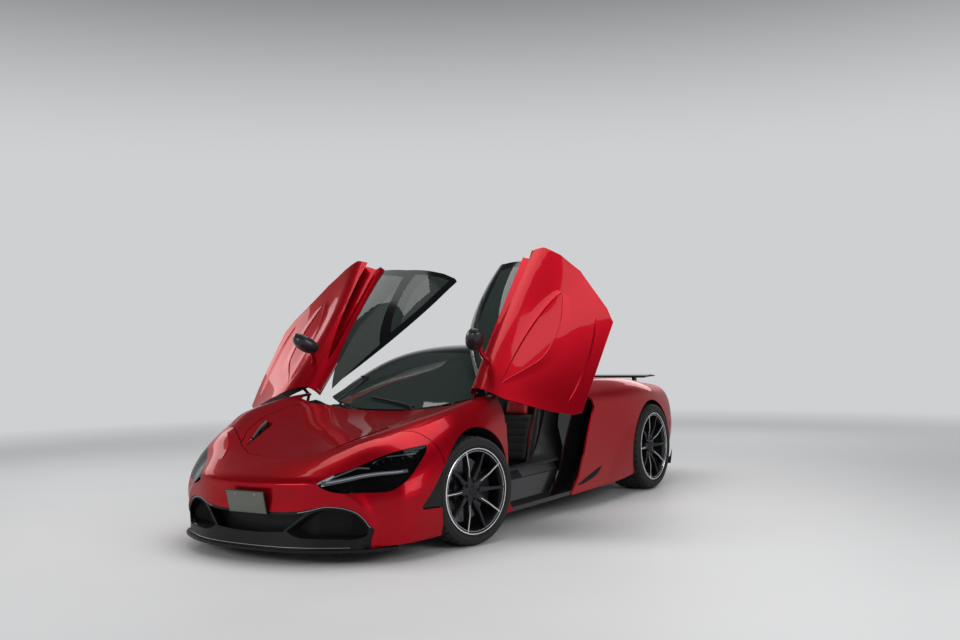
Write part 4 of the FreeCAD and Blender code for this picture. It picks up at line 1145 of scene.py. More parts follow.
@dataclass
class Corner:
    """One road wheel with its tyre, brake and bright edges, drawn with its outside along +Y."""

    axle: Axle
    side: Side
    tyre_radius: float
    tyre_width: float
    rim_radius: float
    disc_set: float = -0.0235
    steps: int = 120
    spokes: int = 10
    rim_inset: float = 0.010
    hub_set: float = 0.036

    def __post_init__(self) -> None:
        """Reads the wheel's place from its joint."""
        row = joint_row(f"{self.axle.value}_wheel_{self.side.word}_roll")
        axis = Vector(row["axis"])
        turn = math.atan2(-axis.x, axis.y)
        self.spot = (Matrix.Translation(row["pos_m"]) @ Matrix.Rotation(turn, 4, "Z")
                     @ flipped(self.side))
        self.body = f"{self.axle.value}_wheel_{self.side.word}"
        self.label = f"{self.axle.value}_{self.side.word}"
        self.out = self.tyre_width / 2 - self.rim_inset

    def tread_profile(self) -> list[Pair]:
        """The tyre's section: grooved tread, shoulders, walls with a rim rib, and bead.

        Returns:
            Its points, as radius and distance outward.
        """
        radius, half, rim = self.tyre_radius, self.tyre_width / 2, self.rim_radius
        groove, slope, depth = 0.0045, 0.0012, 0.0065
        side = [(radius - 0.0004, 0.0)]
        for middle, drop in ((0.020, 0.0), (half * 0.50, 0.0012)):
            top = radius - 0.0004 - drop
            side += [(top, middle - groove), (top - depth, middle - groove + slope),
                     (top - depth, middle + groove - slope), (top, middle + groove)]
        side += [(radius - 0.0012, half - 0.046), (radius - 0.004, half - 0.032),
                 (radius - 0.010, half - 0.017), (radius - 0.020, half - 0.0075),
                 (radius - 0.030, half - 0.0035), (radius - 0.0305, half - 0.0020),
                 (radius - 0.0325, half - 0.0020), (radius - 0.033, half - 0.0030),
                 (rim + 0.036, half - 0.0002), (rim + 0.022, half - 0.0012),
                 (rim + 0.015, half - 0.0018), (rim + 0.012, half - 0.0050),
                 (rim + 0.005, half - 0.0140), (rim - 0.001, half - 0.0220),
                 (rim - 0.010, half - 0.0320), (rim - 0.020, half - 0.0400)]
        return [(r, -y) for r, y in side[:0:-1]] + side

    def tyre(self) -> None:
        """A tyre with four grooves and slots across its shoulders."""
        piece = Piece(f"{self.label}_tread", self.body, [TYRE])
        piece.turned(self.tread_profile(), self.steps)
        bmesh.ops.recalc_face_normals(piece.mesh, faces=list(piece.mesh.faces))
        half = self.tyre_width / 2
        pitch = math.tau / self.steps
        slots = []
        for face in piece.mesh.faces:
            middle = face.calc_center_median()
            radius = math.hypot(middle.x, middle.z)
            count = int((math.atan2(middle.z, middle.x) % math.tau) / pitch)
            out = abs(middle.y)
            on_shoulder = half - 0.046 < out < half - 0.020
            on_rib = 0.026 < out < half * 0.5 - 0.005 and radius > self.tyre_radius - 0.002
            if (on_shoulder and count % 3 == 0) or (on_rib and count % 3 == 1):
                slots.append(face)
        bmesh.ops.inset_individual(piece.mesh, faces=slots, thickness=0.003, depth=-0.0045)
        piece.done(30.0, self.spot, replaces=[f"{self.axle.value}_tyre_{self.side.word}"])

    def front_face(self, radius: float) -> float:
        """How far out the spokes' front lies.

        Args:
            radius: the distance from the wheel's middle.

        Returns:
            The distance outward.
        """
        stops = ((0.080, self.out - self.hub_set), (0.150, self.out - 0.014),
                 (self.rim_radius - 0.018, self.out - 0.004))
        if radius <= stops[0][0]:
            return stops[0][1]
        for (r0, y0), (r1, y1) in zip(stops, stops[1:]):
            if radius <= r1:
                return y0 + (y1 - y0) * (radius - r0) / (r1 - r0)
        return stops[-1][1]

    def spoke_path(self, number: int, start: float, stop: float, lift: float) -> list[Vector]:
        """A line along the front of one spoke.

        Args:
            number: which spoke.
            start: the radius where the line starts.
            stop: the radius where it ends.
            lift: how far it stays off the spoke.

        Returns:
            The line's points.
        """
        turn = Matrix.Rotation(math.tau * number / self.spokes, 3, "Y")
        return [turn @ Vector((r, self.front_face(r) + lift, 0))
                for r in (start + (stop - start) * n / 12 for n in range(13))]

    def bright_edges(self) -> None:
        """The machined lip of the rim and the thin lands on every second spoke."""
        piece = Piece(f"{self.label}_machined_edges", self.body, [MACHINED])
        out, lip = self.out, self.rim_radius
        piece.turned([(lip - 0.0085, out - 0.001), (lip - 0.0075, out + 0.0016),
                      (lip - 0.0020, out + 0.0020), (lip + 0.0004, out + 0.0006),
                      (lip + 0.0004, out - 0.003), (lip - 0.0085, out - 0.003)], 96)
        piece.turned([(lip - 0.0205, out - 0.0045), (lip - 0.0200, out - 0.0030),
                      (lip - 0.0180, out - 0.0030), (lip - 0.0175, out - 0.0045)], 96)
        for k in range(0, self.spokes, 2):
            path = self.spoke_path(k, 0.088, lip - 0.010, 0.0006)
            piece.strip(path, [Vector((0, 1, 0))] * len(path), 0.0072, 0.0012,
                        grow=lambda share: 0.55 + 0.45 * share)
        piece.done(30.0, self.spot)

    def dark_edges(self) -> None:
        """A rib down the middle of each spoke between the bright ones."""
        piece = Piece(f"{self.label}_spoke_ribs", self.body, [WHEEL_GREY])
        for k in range(1, self.spokes, 2):
            path = self.spoke_path(k, 0.086, self.rim_radius - 0.012, 0.0004)
            piece.strip(path, [Vector((0, 1, 0))] * len(path), 0.0068, 0.0016)
        piece.done(30.0, self.spot)

    def centre(self) -> None:
        """The plain cap, its ring, the five bolts and the valve."""
        piece = Piece(f"{self.label}_wheel_centre", self.body, [SATIN_BLACK, CALIPER])
        face = self.out - self.hub_set + 0.006
        piece.turned([(0.0, face + 0.0075), (0.012, face + 0.0070), (0.024, face + 0.0050),
                      (0.030, face + 0.0015), (0.031, face - 0.002), (0.0, face - 0.002)], 48)
        piece.turned([(0.0300, face + 0.0005), (0.0312, face + 0.0030), (0.0335, face + 0.0030),
                      (0.0345, face - 0.001), (0.0300, face - 0.001)], 48, finish=1)
        for k in range(5):
            turn = Matrix.Rotation(math.tau * (k + 0.5) / 5, 4, "Y")
            for radius, low, high, sides in ((0.0115, -0.008, -0.0005, 24), (0.0085, -0.004, 0.005, 6)):
                place = (turn @ Matrix.Translation((0.054, face + (low + high) / 2, 0))
                         @ Matrix.Rotation(math.pi / 2, 4, "X"))
                piece.cone((radius, radius), high - low, sides, place, 1 if sides == 6 else 0)
        stem = [Vector((self.rim_radius - 0.034, face + 0.008, 0.024)),
                Vector((self.rim_radius - 0.046, face + 0.016, 0.026)),
                Vector((self.rim_radius - 0.060, face + 0.022, 0.027))]
        piece.tube(stem, 0.0035)
        piece.done(30.0, self.spot)

    def brake(self) -> None:
        """The drilled faces of the disc."""
        piece = Piece(f"{self.label}_disc_face", self.body, [DISC_IRON, SATIN_BLACK])
        face = self.disc_set + 0.0153
        piece.turned([(0.110, face - 0.0002), (0.111, face + 0.0008), (0.1925, face + 0.0008),
                      (0.194, face - 0.0002)], 96)
        for ring, radius in enumerate((0.124, 0.141, 0.158, 0.175)):
            for k in range(16):
                turn = Matrix.Rotation(math.tau * (k + ring * 0.27) / 16, 4, "Y")
                place = (turn @ Matrix.Translation((radius, face + 0.0012, 0))
                         @ Matrix.Rotation(-math.pi / 2, 4, "X"))
                before = len(piece.mesh.faces)
                bmesh.ops.create_circle(piece.mesh, cap_ends=True, segments=8, radius=0.0036,
                                        matrix=place)
                piece.paint_since(before, 1)
        piece.done(30.0, self.spot)

    def build(self) -> None:
        """Builds and dresses the corner."""
        self.tyre()
        self.bright_edges()
        self.dark_edges()
        self.centre()
        self.brake()
        log.info("wheel %s dressed", self.label)


# The nose


@dataclass
class Headlamp:
    """What stands behind one smoked lamp cover."""

    side: Side
    lens_radius: float = 0.0115
    blade: Sequence[Point] = ((2.6, 0.466, 0.452), (2.6, 0.516, 0.461), (2.6, 0.579, 0.474),
                              (2.6, 0.629, 0.486), (2.6, 0.712, 0.497), (2.6, 0.780, 0.502),
                              (2.6, 0.829, 0.508))
    brow: Sequence[Point] = ((2.6, 0.484, 0.466), (2.6, 0.513, 0.500), (2.6, 0.545, 0.522),
                             (2.6, 0.591, 0.528), (2.6, 0.650, 0.525))
    crown: Sequence[Point] = ((2.6, 0.655, 0.550), (2.6, 0.680, 0.572), (2.6, 0.719, 0.586),
                              (2.6, 0.778, 0.592), (2.6, 0.818, 0.596))

    def line(self, skin: Skin, points: Sequence[Point], lift: float) -> tuple[list[Vector], list[Vector]]:
        """Lays a line behind the cover, on the lamp's own side.

        Args:
            skin: the cover.
            points: the line on the left, ahead of the car.
            lift: how far it stays off the cover.

        Returns:
            Its points and directions.
        """
        return skin.drape([(x, y * self.side.value, z) for x, y, z in points], (-1, 0, 0), lift)

    def build(self) -> None:
        """Builds the light blade on a wide strip that glows as painted sheen, the brow strip and the row of
        lenses.
        """
        skin = Skin("headlamp_covers")
        word = self.side.word
        piece = Piece(f"lamp_parts_{word}", "chassis",
                      [LAMP_SILVER, LAMP_LIGHT, LENS, GLOSS_BLACK, LAMP_SHEEN_GLOW])
        path, ups = self.line(skin, self.blade, -0.011)
        # The wide blade strip glows as painted sheen of its silver face, not as a lamp.
        piece.strip(path, ups, 0.026, 0.0022, 4, grow=lambda share: 1.15 - 0.45 * share)
        path, ups = self.line(skin, self.blade, -0.008)
        piece.strip(path[4:-3], ups[4:-3], 0.0050, 0.0018, 1)
        path, ups = self.line(skin, self.brow, -0.009)
        piece.strip(path, ups, 0.0080, 0.0022, 1)
        # The crown strip glows as painted sheen too.
        path, ups = self.line(skin, self.crown, -0.010)
        piece.strip(path, ups, 0.0050, 0.0020, 4)
        ahead = Vector((1.0, 0.30 * self.side.value, -0.05)).normalized()
        r = self.lens_radius
        for k in range(5, len(path) - 2, 6):
            unit = Piece("lens", "chassis", [])
            unit.turned([(r * 0.80, -0.020), (r, -0.004), (r * 1.12, 0.0), (r * 1.12, 0.002),
                         (r * 0.94, 0.002), (r * 0.88, -0.004), (r * 0.76, -0.020)], 28, finish=3)
            unit.turned([(0.0, 0.003), (r * 0.30, 0.0026), (r * 0.58, 0.0005), (r * 0.80, -0.004),
                         (r * 0.86, -0.007), (0.0, -0.007)], 28, finish=2)
            spot = path[k] - ups[k] * 0.010 + Vector((0, 0, -0.014))
            piece.add(unit, standing(spot, ahead, "Y"))
        piece.done(40.0)
        log.info("headlamp %s dressed", word)


@dataclass
class Nose:
    """The blank plate, the meshes in the ducts, their bright edges and the bonnet vents."""

    plate_size: Pair = (0.285, 0.128)
    plate_middle: Point = (2.246, 0.0, 0.338)
    plate_lean: float = 13.0
    mesh_pitch: float = 0.016
    vent_outer: Sequence[Point] = ((1.888, 0.342, 1.2), (1.800, 0.388, 1.2), (1.700, 0.446, 1.2),
                                   (1.600, 0.498, 1.2), (1.503, 0.539, 1.2))
    vent_inner: Sequence[Point] = ((1.888, 0.339, 1.2), (1.800, 0.361, 1.2), (1.700, 0.393, 1.2),
                                   (1.600, 0.431, 1.2), (1.518, 0.464, 1.2))
    nose_crease: Sequence[Pair] = ((2.075, 0.372), (1.981, 0.422), (1.880, 0.504),
                                   (1.818, 0.574), (1.772, 0.612))
    wing_crease: Sequence[Pair] = ((1.655, 0.700), (1.574, 0.757), (1.464, 0.800),
                                   (1.333, 0.826), (1.200, 0.838))
    mouth: Sequence[Pair] = (
        (0.272, 0.188), (0.345, 0.242), (0.410, 0.286), (0.480, 0.306), (0.560, 0.306),
        (0.630, 0.279), (0.700, 0.202), (0.682, 0.160), (0.600, 0.144), (0.440, 0.148),
        (0.330, 0.158))
    duct_top: Sequence[Pair] = ((0.0, 0.278), (0.120, 0.279), (0.250, 0.281), (0.330, 0.286),
                                (0.400, 0.300), (0.476, 0.319), (0.540, 0.318), (0.584, 0.310),
                                (0.640, 0.288), (0.680, 0.250), (0.706, 0.205))

    def plate(self) -> None:
        """A blank grey-green plate in a black surround with two screws."""
        wide, high = (value / 2 for value in self.plate_size)
        piece = Piece("blank_plate", "chassis", [PLATE, SATIN_BLACK, STEEL])
        piece.block((-0.004, -wide - 0.004, -high - 0.004), (0.001, wide + 0.004, high + 0.004), 0.002, 1)
        piece.block((0.0012, -wide, -high), (0.0032, wide, high), 0.0008, 0)
        across, up = wide - 0.004, high - 0.004
        piece.border([Vector((0.0034, y, z)) for y, z in (
            (-across, -up), (across, -up), (across, up), (-across, up))], (1, 0, 0), 0.002, 0.0006)
        for y in (-0.075, 0.075):
            place = (Matrix.Translation((0.0040, y, high - 0.018))
                     @ Matrix.Rotation(math.pi / 2, 4, "Y"))
            piece.cone((0.0052, 0.0038), 0.0022, 16, place, 2)
        piece.done(30.0, Matrix.Translation(self.plate_middle)
                   @ Matrix.Rotation(math.radians(self.plate_lean), 4, "Y"))

    def meshes(self) -> None:
        """Fine wire in front of the three ducts' ends."""
        piece = Piece("duct_mesh", "chassis", [DUCT_BLACK_SLOT_SHADE])
        low, high, half = 0.098, 0.285, 0.66
        across, along = round(2 * half / self.mesh_pitch), round((high - low) / self.mesh_pitch)

        def place(u: float, v: float) -> Vector:
            """A point of the wire net, just ahead of the duct's back.

            Args:
                u: the share of the way from the right to the left.
                v: the share of the way up.

            Returns:
                The point.
            """
            y = (u * 2 - 1) * half
            back = 2.150 - 0.27 * max(0.0, abs(y) - 0.2) ** 1.15 - 0.02
            return Vector((back - 0.10 * max(0.0, abs(y) - 0.55), y, low + (high - low) * v))

        piece.sheet(across, along, place)
        piece.wires(0.0016)
        piece.done(30.0)

    def duct_linings(self) -> None:
        """A dark bowl behind each side duct's mouth."""
        skin = Skin("nose", "splitter")
        middle = Vector((0, 0.505, 0.220))
        bend = 0.7
        for side in Side:
            piece = Piece(f"duct_lining_{side.word}", "chassis", [DUCT_BLACK_SLOT_SHADE])
            rim = curve([(0, y, z) for y, z in self.mouth + self.mouth[:1]], 5)[:-1]
            ring = []
            for spot in rim:
                wide = middle + (spot - middle) * 1.07
                landed, _ = skin.drop((2.6, wide.y * side.value, wide.z), (-1, 0, 0))
                ring.append(Vector((landed.x - 0.017, spot.y * side.value, spot.z)))
            far = middle.copy()
            far.y *= side.value
            level = sum(spot.x for spot in ring) / len(ring)

            def place(u: float, v: float) -> Vector:
                """A point of the bowl: its rim at 0, the middle of its bottom at 1.

                Args:
                    u: the share of the way round the mouth.
                    v: the share of the way in.

                Returns:
                    The point.
                """
                spot = ring[round(u * len(ring)) % len(ring)]
                sunk = min(1.0, v / bend)
                shut = 1.0 - 0.16 * v if v < bend else 0.888 * (1.0 - v) / (1.0 - bend)
                deep = 0.115 * math.sin(math.pi / 2 * sunk)
                inward = far + (spot - far) * shut
                flat = spot.x + (level - spot.x) * sunk
                return Vector((flat - deep - 0.02 * max(0.0, v - bend), inward.y, inward.z))

            piece.sheet(len(ring), 10, place, True)
            piece.done(50.0)

    def duct_edges(self) -> None:
        """Thin light lines along the ducts' upper edges."""
        skin = Skin("splitter")
        piece = Piece("duct_edges", "chassis", [EDGE_SILVER])
        for side in Side:
            points = [(2.6, y * side.value, z) for y, z in self.duct_top[3:]]
            path, ups = skin.drape(points, (-1, 0, 0), 0.0006, 6)
            kept = [(p, n) for p, n in zip(path, ups) if p.x > 1.85]
            piece.strip([p for p, _ in kept], [n for _, n in kept], 0.003, 0.0012)
        path, ups = skin.drape([(2.6, y, 0.1000) for y in (-0.62, -0.4, -0.2, 0, 0.2, 0.4, 0.62)],
                               (-1, 0, 0), 0.0006, 8)
        piece.strip(path, ups, 0.0024, 0.0012)
        piece.done(30.0)

    def bonnet_vents(self) -> None:
        """A bright wall, a dark lining and slats in each bonnet duct."""
        skin = Skin("bonnet")
        outer, inner = curve(self.vent_outer, 6), curve(self.vent_inner, 6)
        last = len(outer) - 1
        shares = (0.01, 0.20, 0.22, 0.60, 0.96, 0.97)
        for side in Side:
            piece = Piece(f"bonnet_vent_{side.word}", "bonnet", [EDGE_SILVER, DUCT_BLACK_SLOT_SHADE])
            mirror = flipped(side)

            def place(u: float, v: float) -> Vector:
                """A point of the lining: down the outer wall, over the floor and up the inner.

                Args:
                    u: the share of the way inwards.
                    v: the share of the duct's length.

                Returns:
                    The point.
                """
                a, b = outer[round(v * last)], inner[round(v * last)]
                column = round(u * 5)
                spot = mirror @ a.lerp(b, shares[column])
                edge = mirror @ (a.lerp(b, -0.06) if column < 2 else a.lerp(b, 1.06))
                if column in (0, 1, 5):
                    sunk = (0.0008, 0.0095, 0, 0, 0, 0.004)[column]
                    return Vector((spot.x, spot.y, skin.drop(edge, (0, 0, -1))[0].z - sunk))
                return skin.drop(spot, (0, 0, -1), 0.0014)[0]

            piece.sheet(5, last, place, finish=1)
            for face in piece.mesh.faces:
                spot = mirror @ face.calc_center_median()
                k = min(range(last + 1), key=lambda n: abs(outer[n].x - spot.x))
                width = max(1e-4, outer[k].y - inner[k].y)
                if (outer[k].y - spot.y) / width < 0.20:
                    face.material_index = 0
            for k in range(4, last - 2, 4):
                a, b = mirror @ outer[k].lerp(inner[k], 0.22), mirror @ outer[k].lerp(inner[k], 0.94)
                rise = skin.drop(a.lerp(b, 0.5), (0, 0, -1), 0.018)[0].z
                path = [Vector((a.x, a.y, rise)), Vector(((a.x + b.x) / 2, (a.y + b.y) / 2, rise)),
                        Vector((b.x, b.y, rise))]
                piece.strip(path, [Vector((0.7, 0, 0.7))] * 3, 0.014, 0.0015, 1)
            piece.done(30.0)

    def creases(self) -> None:
        """The pressed line over each lamp, on the nose and on the wing."""
        for side in Side:
            piece = Piece(f"front_creases_{side.word}", "chassis", [PAINT])
            for node, points in (("nose", self.nose_crease), ("wings", self.wing_crease)):
                line = [(x, y * side.value, 1.3) for x, y in points]
                flanks = (0.070, 0.028) if side is Side.LEFT else (0.028, 0.070)
                piece.crease(Skin(node), line, (0, 0, -1), 0.0050, flanks)
            piece.done(14.0)

    def sensors(self) -> None:
        """Four flush parking sensors."""
        skin = Skin("nose")
        piece = Piece("parking_sensors", "chassis", [PAINT, SATIN_BLACK])
        for y in (-0.62, -0.30, 0.30, 0.62):
            spot, up = skin.drop((2.6, y, 0.392), (-1, 0, 0), 0.0)
            unit = Piece("sensor", "chassis", [])
            unit.turned([(0, 0.0012), (0.0085, 0.0010), (0.0090, -0.002), (0, -0.002)], 24)
            unit.turned([(0.0092, 0.0006), (0.0108, 0.0006), (0.0112, -0.002), (0.0092, -0.002)], 24,
                        finish=1)
            piece.add(unit, standing(spot, up, "Y"))
        piece.done(30.0)

    def build(self) -> None:
        """Builds and dresses the nose."""
        both(lambda side: Headlamp(side).build())
        self.plate()
        self.meshes()
        self.duct_linings()
        self.duct_edges()
        self.bonnet_vents()
        self.creases()
        self.sensors()
        log.info("nose dressed")


# Luggage bay


@dataclass
class Bay:
    """The trim between the bonnet's opening and the tub's rim, and the bonnet's lining."""

    edge: Sequence[Point] = ((0.984, 0.0, 1.3), (0.982, 0.250, 1.3), (0.974, 0.440, 1.3),
                             (0.986, 0.530, 1.3), (1.018, 0.582, 1.3), (1.100, 0.606, 1.3),
                             (1.200, 0.624, 1.3), (1.320, 0.611, 1.3), (1.450, 0.592, 1.3),
                             (1.580, 0.548, 1.3), (1.700, 0.501, 1.3), (1.800, 0.442, 1.3),
                             (1.880, 0.391, 1.3), (1.950, 0.288, 1.3), (1.985, 0.220, 1.3),
                             (2.004, 0.110, 1.3), (2.008, 0.0, 1.3))
    rim: Sequence[Point] = ((0.910, 0.0, 0.701), (0.910, 0.200, 0.701), (0.912, 0.325, 0.701),
                            (0.950, 0.333, 0.696), (1.000, 0.333, 0.690), (1.090, 0.333, 0.679),
                            (1.180, 0.333, 0.667), (1.290, 0.333, 0.654), (1.400, 0.333, 0.640),
                            (1.520, 0.333, 0.625), (1.640, 0.333, 0.610), (1.740, 0.333, 0.575),
                            (1.820, 0.333, 0.522), (1.872, 0.322, 0.488), (1.878, 0.230, 0.484),
                            (1.878, 0.110, 0.484), (1.878, 0.0, 0.484))
    middle: float = 1.45
    drop_scale: float = 0.975
    hinge_spot: Pair = (1.02, 0.42)
    hinge_reach: Pair = (0.12, 0.08)
    hinge_relief: float = 0.034
    rows: Sequence[Pair] = ((1.010, 0.018), (0.985, 0.019), (0.962, 0.023),
                            (0.940, 0.062))
    lining: Sequence[Pair] = ((1.030, 0.535), (1.200, 0.570), (1.420, 0.540),
                              (1.500, 0.435), (1.600, 0.405), (1.700, 0.366),
                              (1.800, 0.334), (1.880, 0.308), (1.955, 0.215))

    def trim(self) -> None:
        """Builds the flange under the opening's edge and its fall to the tub."""
        skin = Skin("bonnet")
        edge, rim = curve(self.edge, 4), curve(self.rim, 4)
        piece = Piece("bay_trim", "chassis", [SATIN_BLACK])
        last = len(edge) - 1

        def place(u: float, v: float) -> Vector:
            """A point for a share of the way round and of the fall inwards.

            Args:
                u: the share of the way round, from the right hinge to the left.
                v: the share of the fall inwards.

            Returns:
                The point.
            """
            way = abs(u * 2 - 1)
            k = round((1 - way) * last)
            sign = -1.0 if u < 0.5 else 1.0
            row = round(v * len(self.rows))
            if row == len(self.rows):
                return Vector((rim[k].x, rim[k].y * sign, rim[k].z))
            scale, depth = self.rows[row]
            x, y = self.middle + (edge[k].x - self.middle) * scale, edge[k].y * scale
            inside = (self.middle + (edge[k].x - self.middle) * self.drop_scale,
                      edge[k].y * self.drop_scale, 1.3)
            near = max(0.0, 1.0 - abs(x - self.hinge_spot[0]) / self.hinge_reach[0])
            beside = min(1.0, max(0.0, y - self.hinge_spot[1]) / self.hinge_reach[1])
            top = skin.drop(inside, (0, 0, -1))[0].z
            return Vector((x, y * sign, top - depth - self.hinge_relief * near * beside))

        piece.sheet(2 * last, len(self.rows), place, True)
        piece.done(40.0)

    def bonnet_lining(self) -> None:
        """A quilted pad under the bonnet, clear of its ducts and arms."""
        skin = Skin("bonnet")
        line = curve([(x, y, 0.3) for x, y in self.lining], 5)
        last = len(line) - 1
        piece = Piece("bonnet_lining", "bonnet", [FELT])

        def place(u: float, v: float) -> Vector:
            """A point of the pad for a share of its width and length.

            Args:
                u: the share of the pad's width.
                v: the share of its length.

            Returns:
                The point.
            """
            k = round(v * last)
            across = u * 2 - 1
            spot, down = skin.drop((line[k].x, line[k].y * across, 0.3), (0, 0, 1))
            border = min(1.0, 8 * (1 - abs(across)), 12 * v, 12 * (1 - v))
            quilt = abs(math.sin(across * math.pi * 4)) * abs(math.sin(v * math.pi * 6))
            return spot + down * (0.0012 + 0.004 * max(0.0, border) * (0.6 + 0.4 * quilt))

        piece.sheet(48, last, place)
        piece.done(50.0)

    def build(self) -> None:
        """Builds and dresses the bay."""
        self.trim()
        self.bonnet_lining()
        log.info("luggage bay dressed")


# Screen


@dataclass
class Screen:
    """The wipers of the windscreen."""

    arm_width: float = 0.014
    arms: Sequence[tuple[Point, Point, Point]] = (
        ((0.955, 0.36, 1.5), (0.895, 0.10, 1.5), (0.840, -0.18, 1.5)),
        ((0.955, -0.22, 1.5), (0.880, -0.42, 1.5), (0.815, -0.60, 1.5)))

    def wipers(self) -> None:
        """Two arms with their blades at rest low on the screen."""
        skin = Skin("windscreen", "roof_frame")
        for count, points in enumerate(self.arms, start=1):
            piece = Piece(f"wiper_{count}", "chassis", [SATIN_BLACK, RUBBER_BLACK])
            path, ups = skin.drape(points, (0, 0, -1), 0.016, 8)
            piece.strip(path, ups, self.arm_width, 0.007, 0, grow=lambda share: 1.25 - 0.65 * share)
            blade = [(x - 0.012, y, z) for x, y, z in points]
            path, ups = skin.drape(blade, (0, 0, -1), 0.004, 10)
            piece.strip(path[5:], ups[5:], 0.008, 0.009, 1)
            spot, up = skin.drop(points[0], (0, 0, -1), 0.006)
            piece.cone((0.017, 0.012), 0.026, 24, standing(spot, up))
            piece.done(35.0)

    def build(self) -> None:
        """Builds and dresses the screen."""
        self.wipers()
        log.info("screen dressed")


# Doors


@dataclass
class Door:
    """One door's trim, drawn with the door shut on the left and swung up to its place at rest."""

    side: Side
    strip_width: float = 0.007
    seal_radius: float = 0.007
    card_foot: float = 0.262
    card_height: float = 0.378
    card_back: float = 0.145
    card_front: float = 0.670
    card_slope: float = 0.6
    hollow_top: Sequence[Pair] = ((0.750, 0.690), (0.640, 0.684), (0.480, 0.676),
                                  (0.332, 0.660), (0.193, 0.636), (0.072, 0.604),
                                  (-0.040, 0.560), (-0.072, 0.535))
    hollow_foot: Sequence[Pair] = ((0.752, 0.684), (0.669, 0.621), (0.582, 0.550),
                                   (0.480, 0.488), (0.340, 0.465), (0.170, 0.470),
                                   (0.010, 0.506), (-0.072, 0.535))
    sill_line: Sequence[Pair] = ((0.770, 0.246), (0.650, 0.226), (0.500, 0.218),
                                 (0.330, 0.224), (0.180, 0.242), (0.070, 0.268))

    def __post_init__(self) -> None:
        """Works out the swing from the door's joint."""
        row = joint_row("door_left_swing")
        foot = Matrix.Translation(row["pos_m"])
        swing = Matrix.Rotation(-math.radians(row["range_deg"][1]), 4, Vector(row["axis"]))
        self.swing = foot @ swing @ foot.inverted()
        self.spot = flipped(self.side) @ self.swing
        self.body = f"door_{self.side.word}"

    def skin(self, *parts: str) -> Skin:
        """The left door's own nodes, shut."""
        return Skin(*(f"{part}_left" for part in parts), shut=self.swing.inverted())

    def belt_strip(self) -> None:
        """The satin strip between the painted panel and the glass."""
        skin = self.skin("door_skin")
        points = [(0.800, 0.712, 1.3), (0.650, 0.700, 1.3), (0.480, 0.690, 1.3), (0.300, 0.682, 1.3),
                  (0.000, 0.665, 1.3), (-0.200, 0.654, 1.3), (-0.370, 0.646, 1.3)]
        piece = Piece(f"belt_strip_{self.side.word}", self.body, [EDGE_SILVER])
        path, ups = skin.drape(points, (0, 0, -1), 0.0004, 8)
        piece.strip(path, ups, self.strip_width, 0.0028)
        piece.done(35.0, self.spot)

    def seals(self) -> None:
        """A rubber tube round the inner frame."""
        skin = self.skin("door_inner", "door_skin")
        points = [(0.700, 0.3, 0.700), (0.735, 0.3, 0.560), (0.735, 0.3, 0.380), (0.690, 0.3, 0.262),
                  (0.560, 0.3, 0.236), (0.250, 0.3, 0.256), (0.060, 0.3, 0.300), (-0.060, 0.3, 0.370),
                  (-0.190, 0.3, 0.500), (-0.290, 0.3, 0.650), (-0.325, 0.3, 0.780)]
        piece = Piece(f"door_seal_{self.side.word}", self.body, [RUBBER_BLACK])
        path, ups = skin.drape(points, (0, 1, 0), 0.003, 8)
        piece.tube(path, self.seal_radius, 10, ups=ups)
        piece.done(35.0, self.spot)

    def card(self) -> None:
        """The lining with its armrest, red inlay and speaker."""
        skin = self.skin("door_inner", "door_skin")
        piece = Piece(f"door_card_{self.side.word}", self.body, [HIDE, SATIN_BLACK, RED_HIDE, STEEL])
        armrest = (-0.16, 0.42, 0.470, 0.520, 0.030, 0)
        inlay = (-0.05, 0.36, 0.545, 0.566, 0.006, 2)

        def place(u: float, v: float) -> Vector:
            """A point of the lining, a few millimetres inside the frame.

            Args:
                u: the share of the way forward.
                v: the share of the way up.

            Returns:
                The point.
            """
            z = self.card_foot + self.card_height * v
            back = self.card_back - self.card_slope * (z - self.card_foot)
            spot, _ = skin.drop((back + (self.card_front - back) * u, 0.3, z), (0, 1, 0))
            edge = min(u, 1 - u, v, 1 - v)
            crown = 0.004 + 0.016 * min(1.0, edge * 7.0) ** 0.5
            return Vector((spot.x, min(spot.y, 0.84) - crown, spot.z))

        piece.sheet(48, 24, place)
        for a, b, low, high, height, finish in (armrest, inlay):
            points = [(x, 0.3, (low + high) / 2 + 0.05 * (x - a)) for x in (a, (a + b) / 2, b)]
            path, ups = skin.drape(points, (0, 1, 0), 0.020, 10)
            piece.strip(path, ups, high - low, height, finish,
                        grow=lambda share: 1.0 - 0.5 * (2 * share - 1) ** 4)
        spot, up = skin.drop((0.545, 0.3, 0.370), (0, 1, 0), 0.020)
        unit = Piece("speaker", self.body, [])
        unit.turned([(0, 0.004), (0.070, 0.0015), (0.076, 0.004), (0.082, 0.004), (0.084, -0.004),
                     (0, -0.004)], 40, finish=1)
        piece.add(unit, standing(spot, up, "Y"))
        piece.done(40.0, self.spot)

    def creases(self) -> None:
        """The pressed lines round the door's hollow and along its foot."""
        skin = self.skin("door_skin")
        piece = Piece(f"door_creases_{self.side.word}", self.body, [PAINT])
        for points, flanks in ((self.hollow_top, (0.014, 0.090)), (self.hollow_foot, (0.100, 0.014)),
                               (self.sill_line, (0.020, 0.070))):
            piece.crease(skin, [(x, 1.4, z) for x, z in points], (0, -1, 0), 0.0065, flanks)
        piece.done(14.0, self.spot)

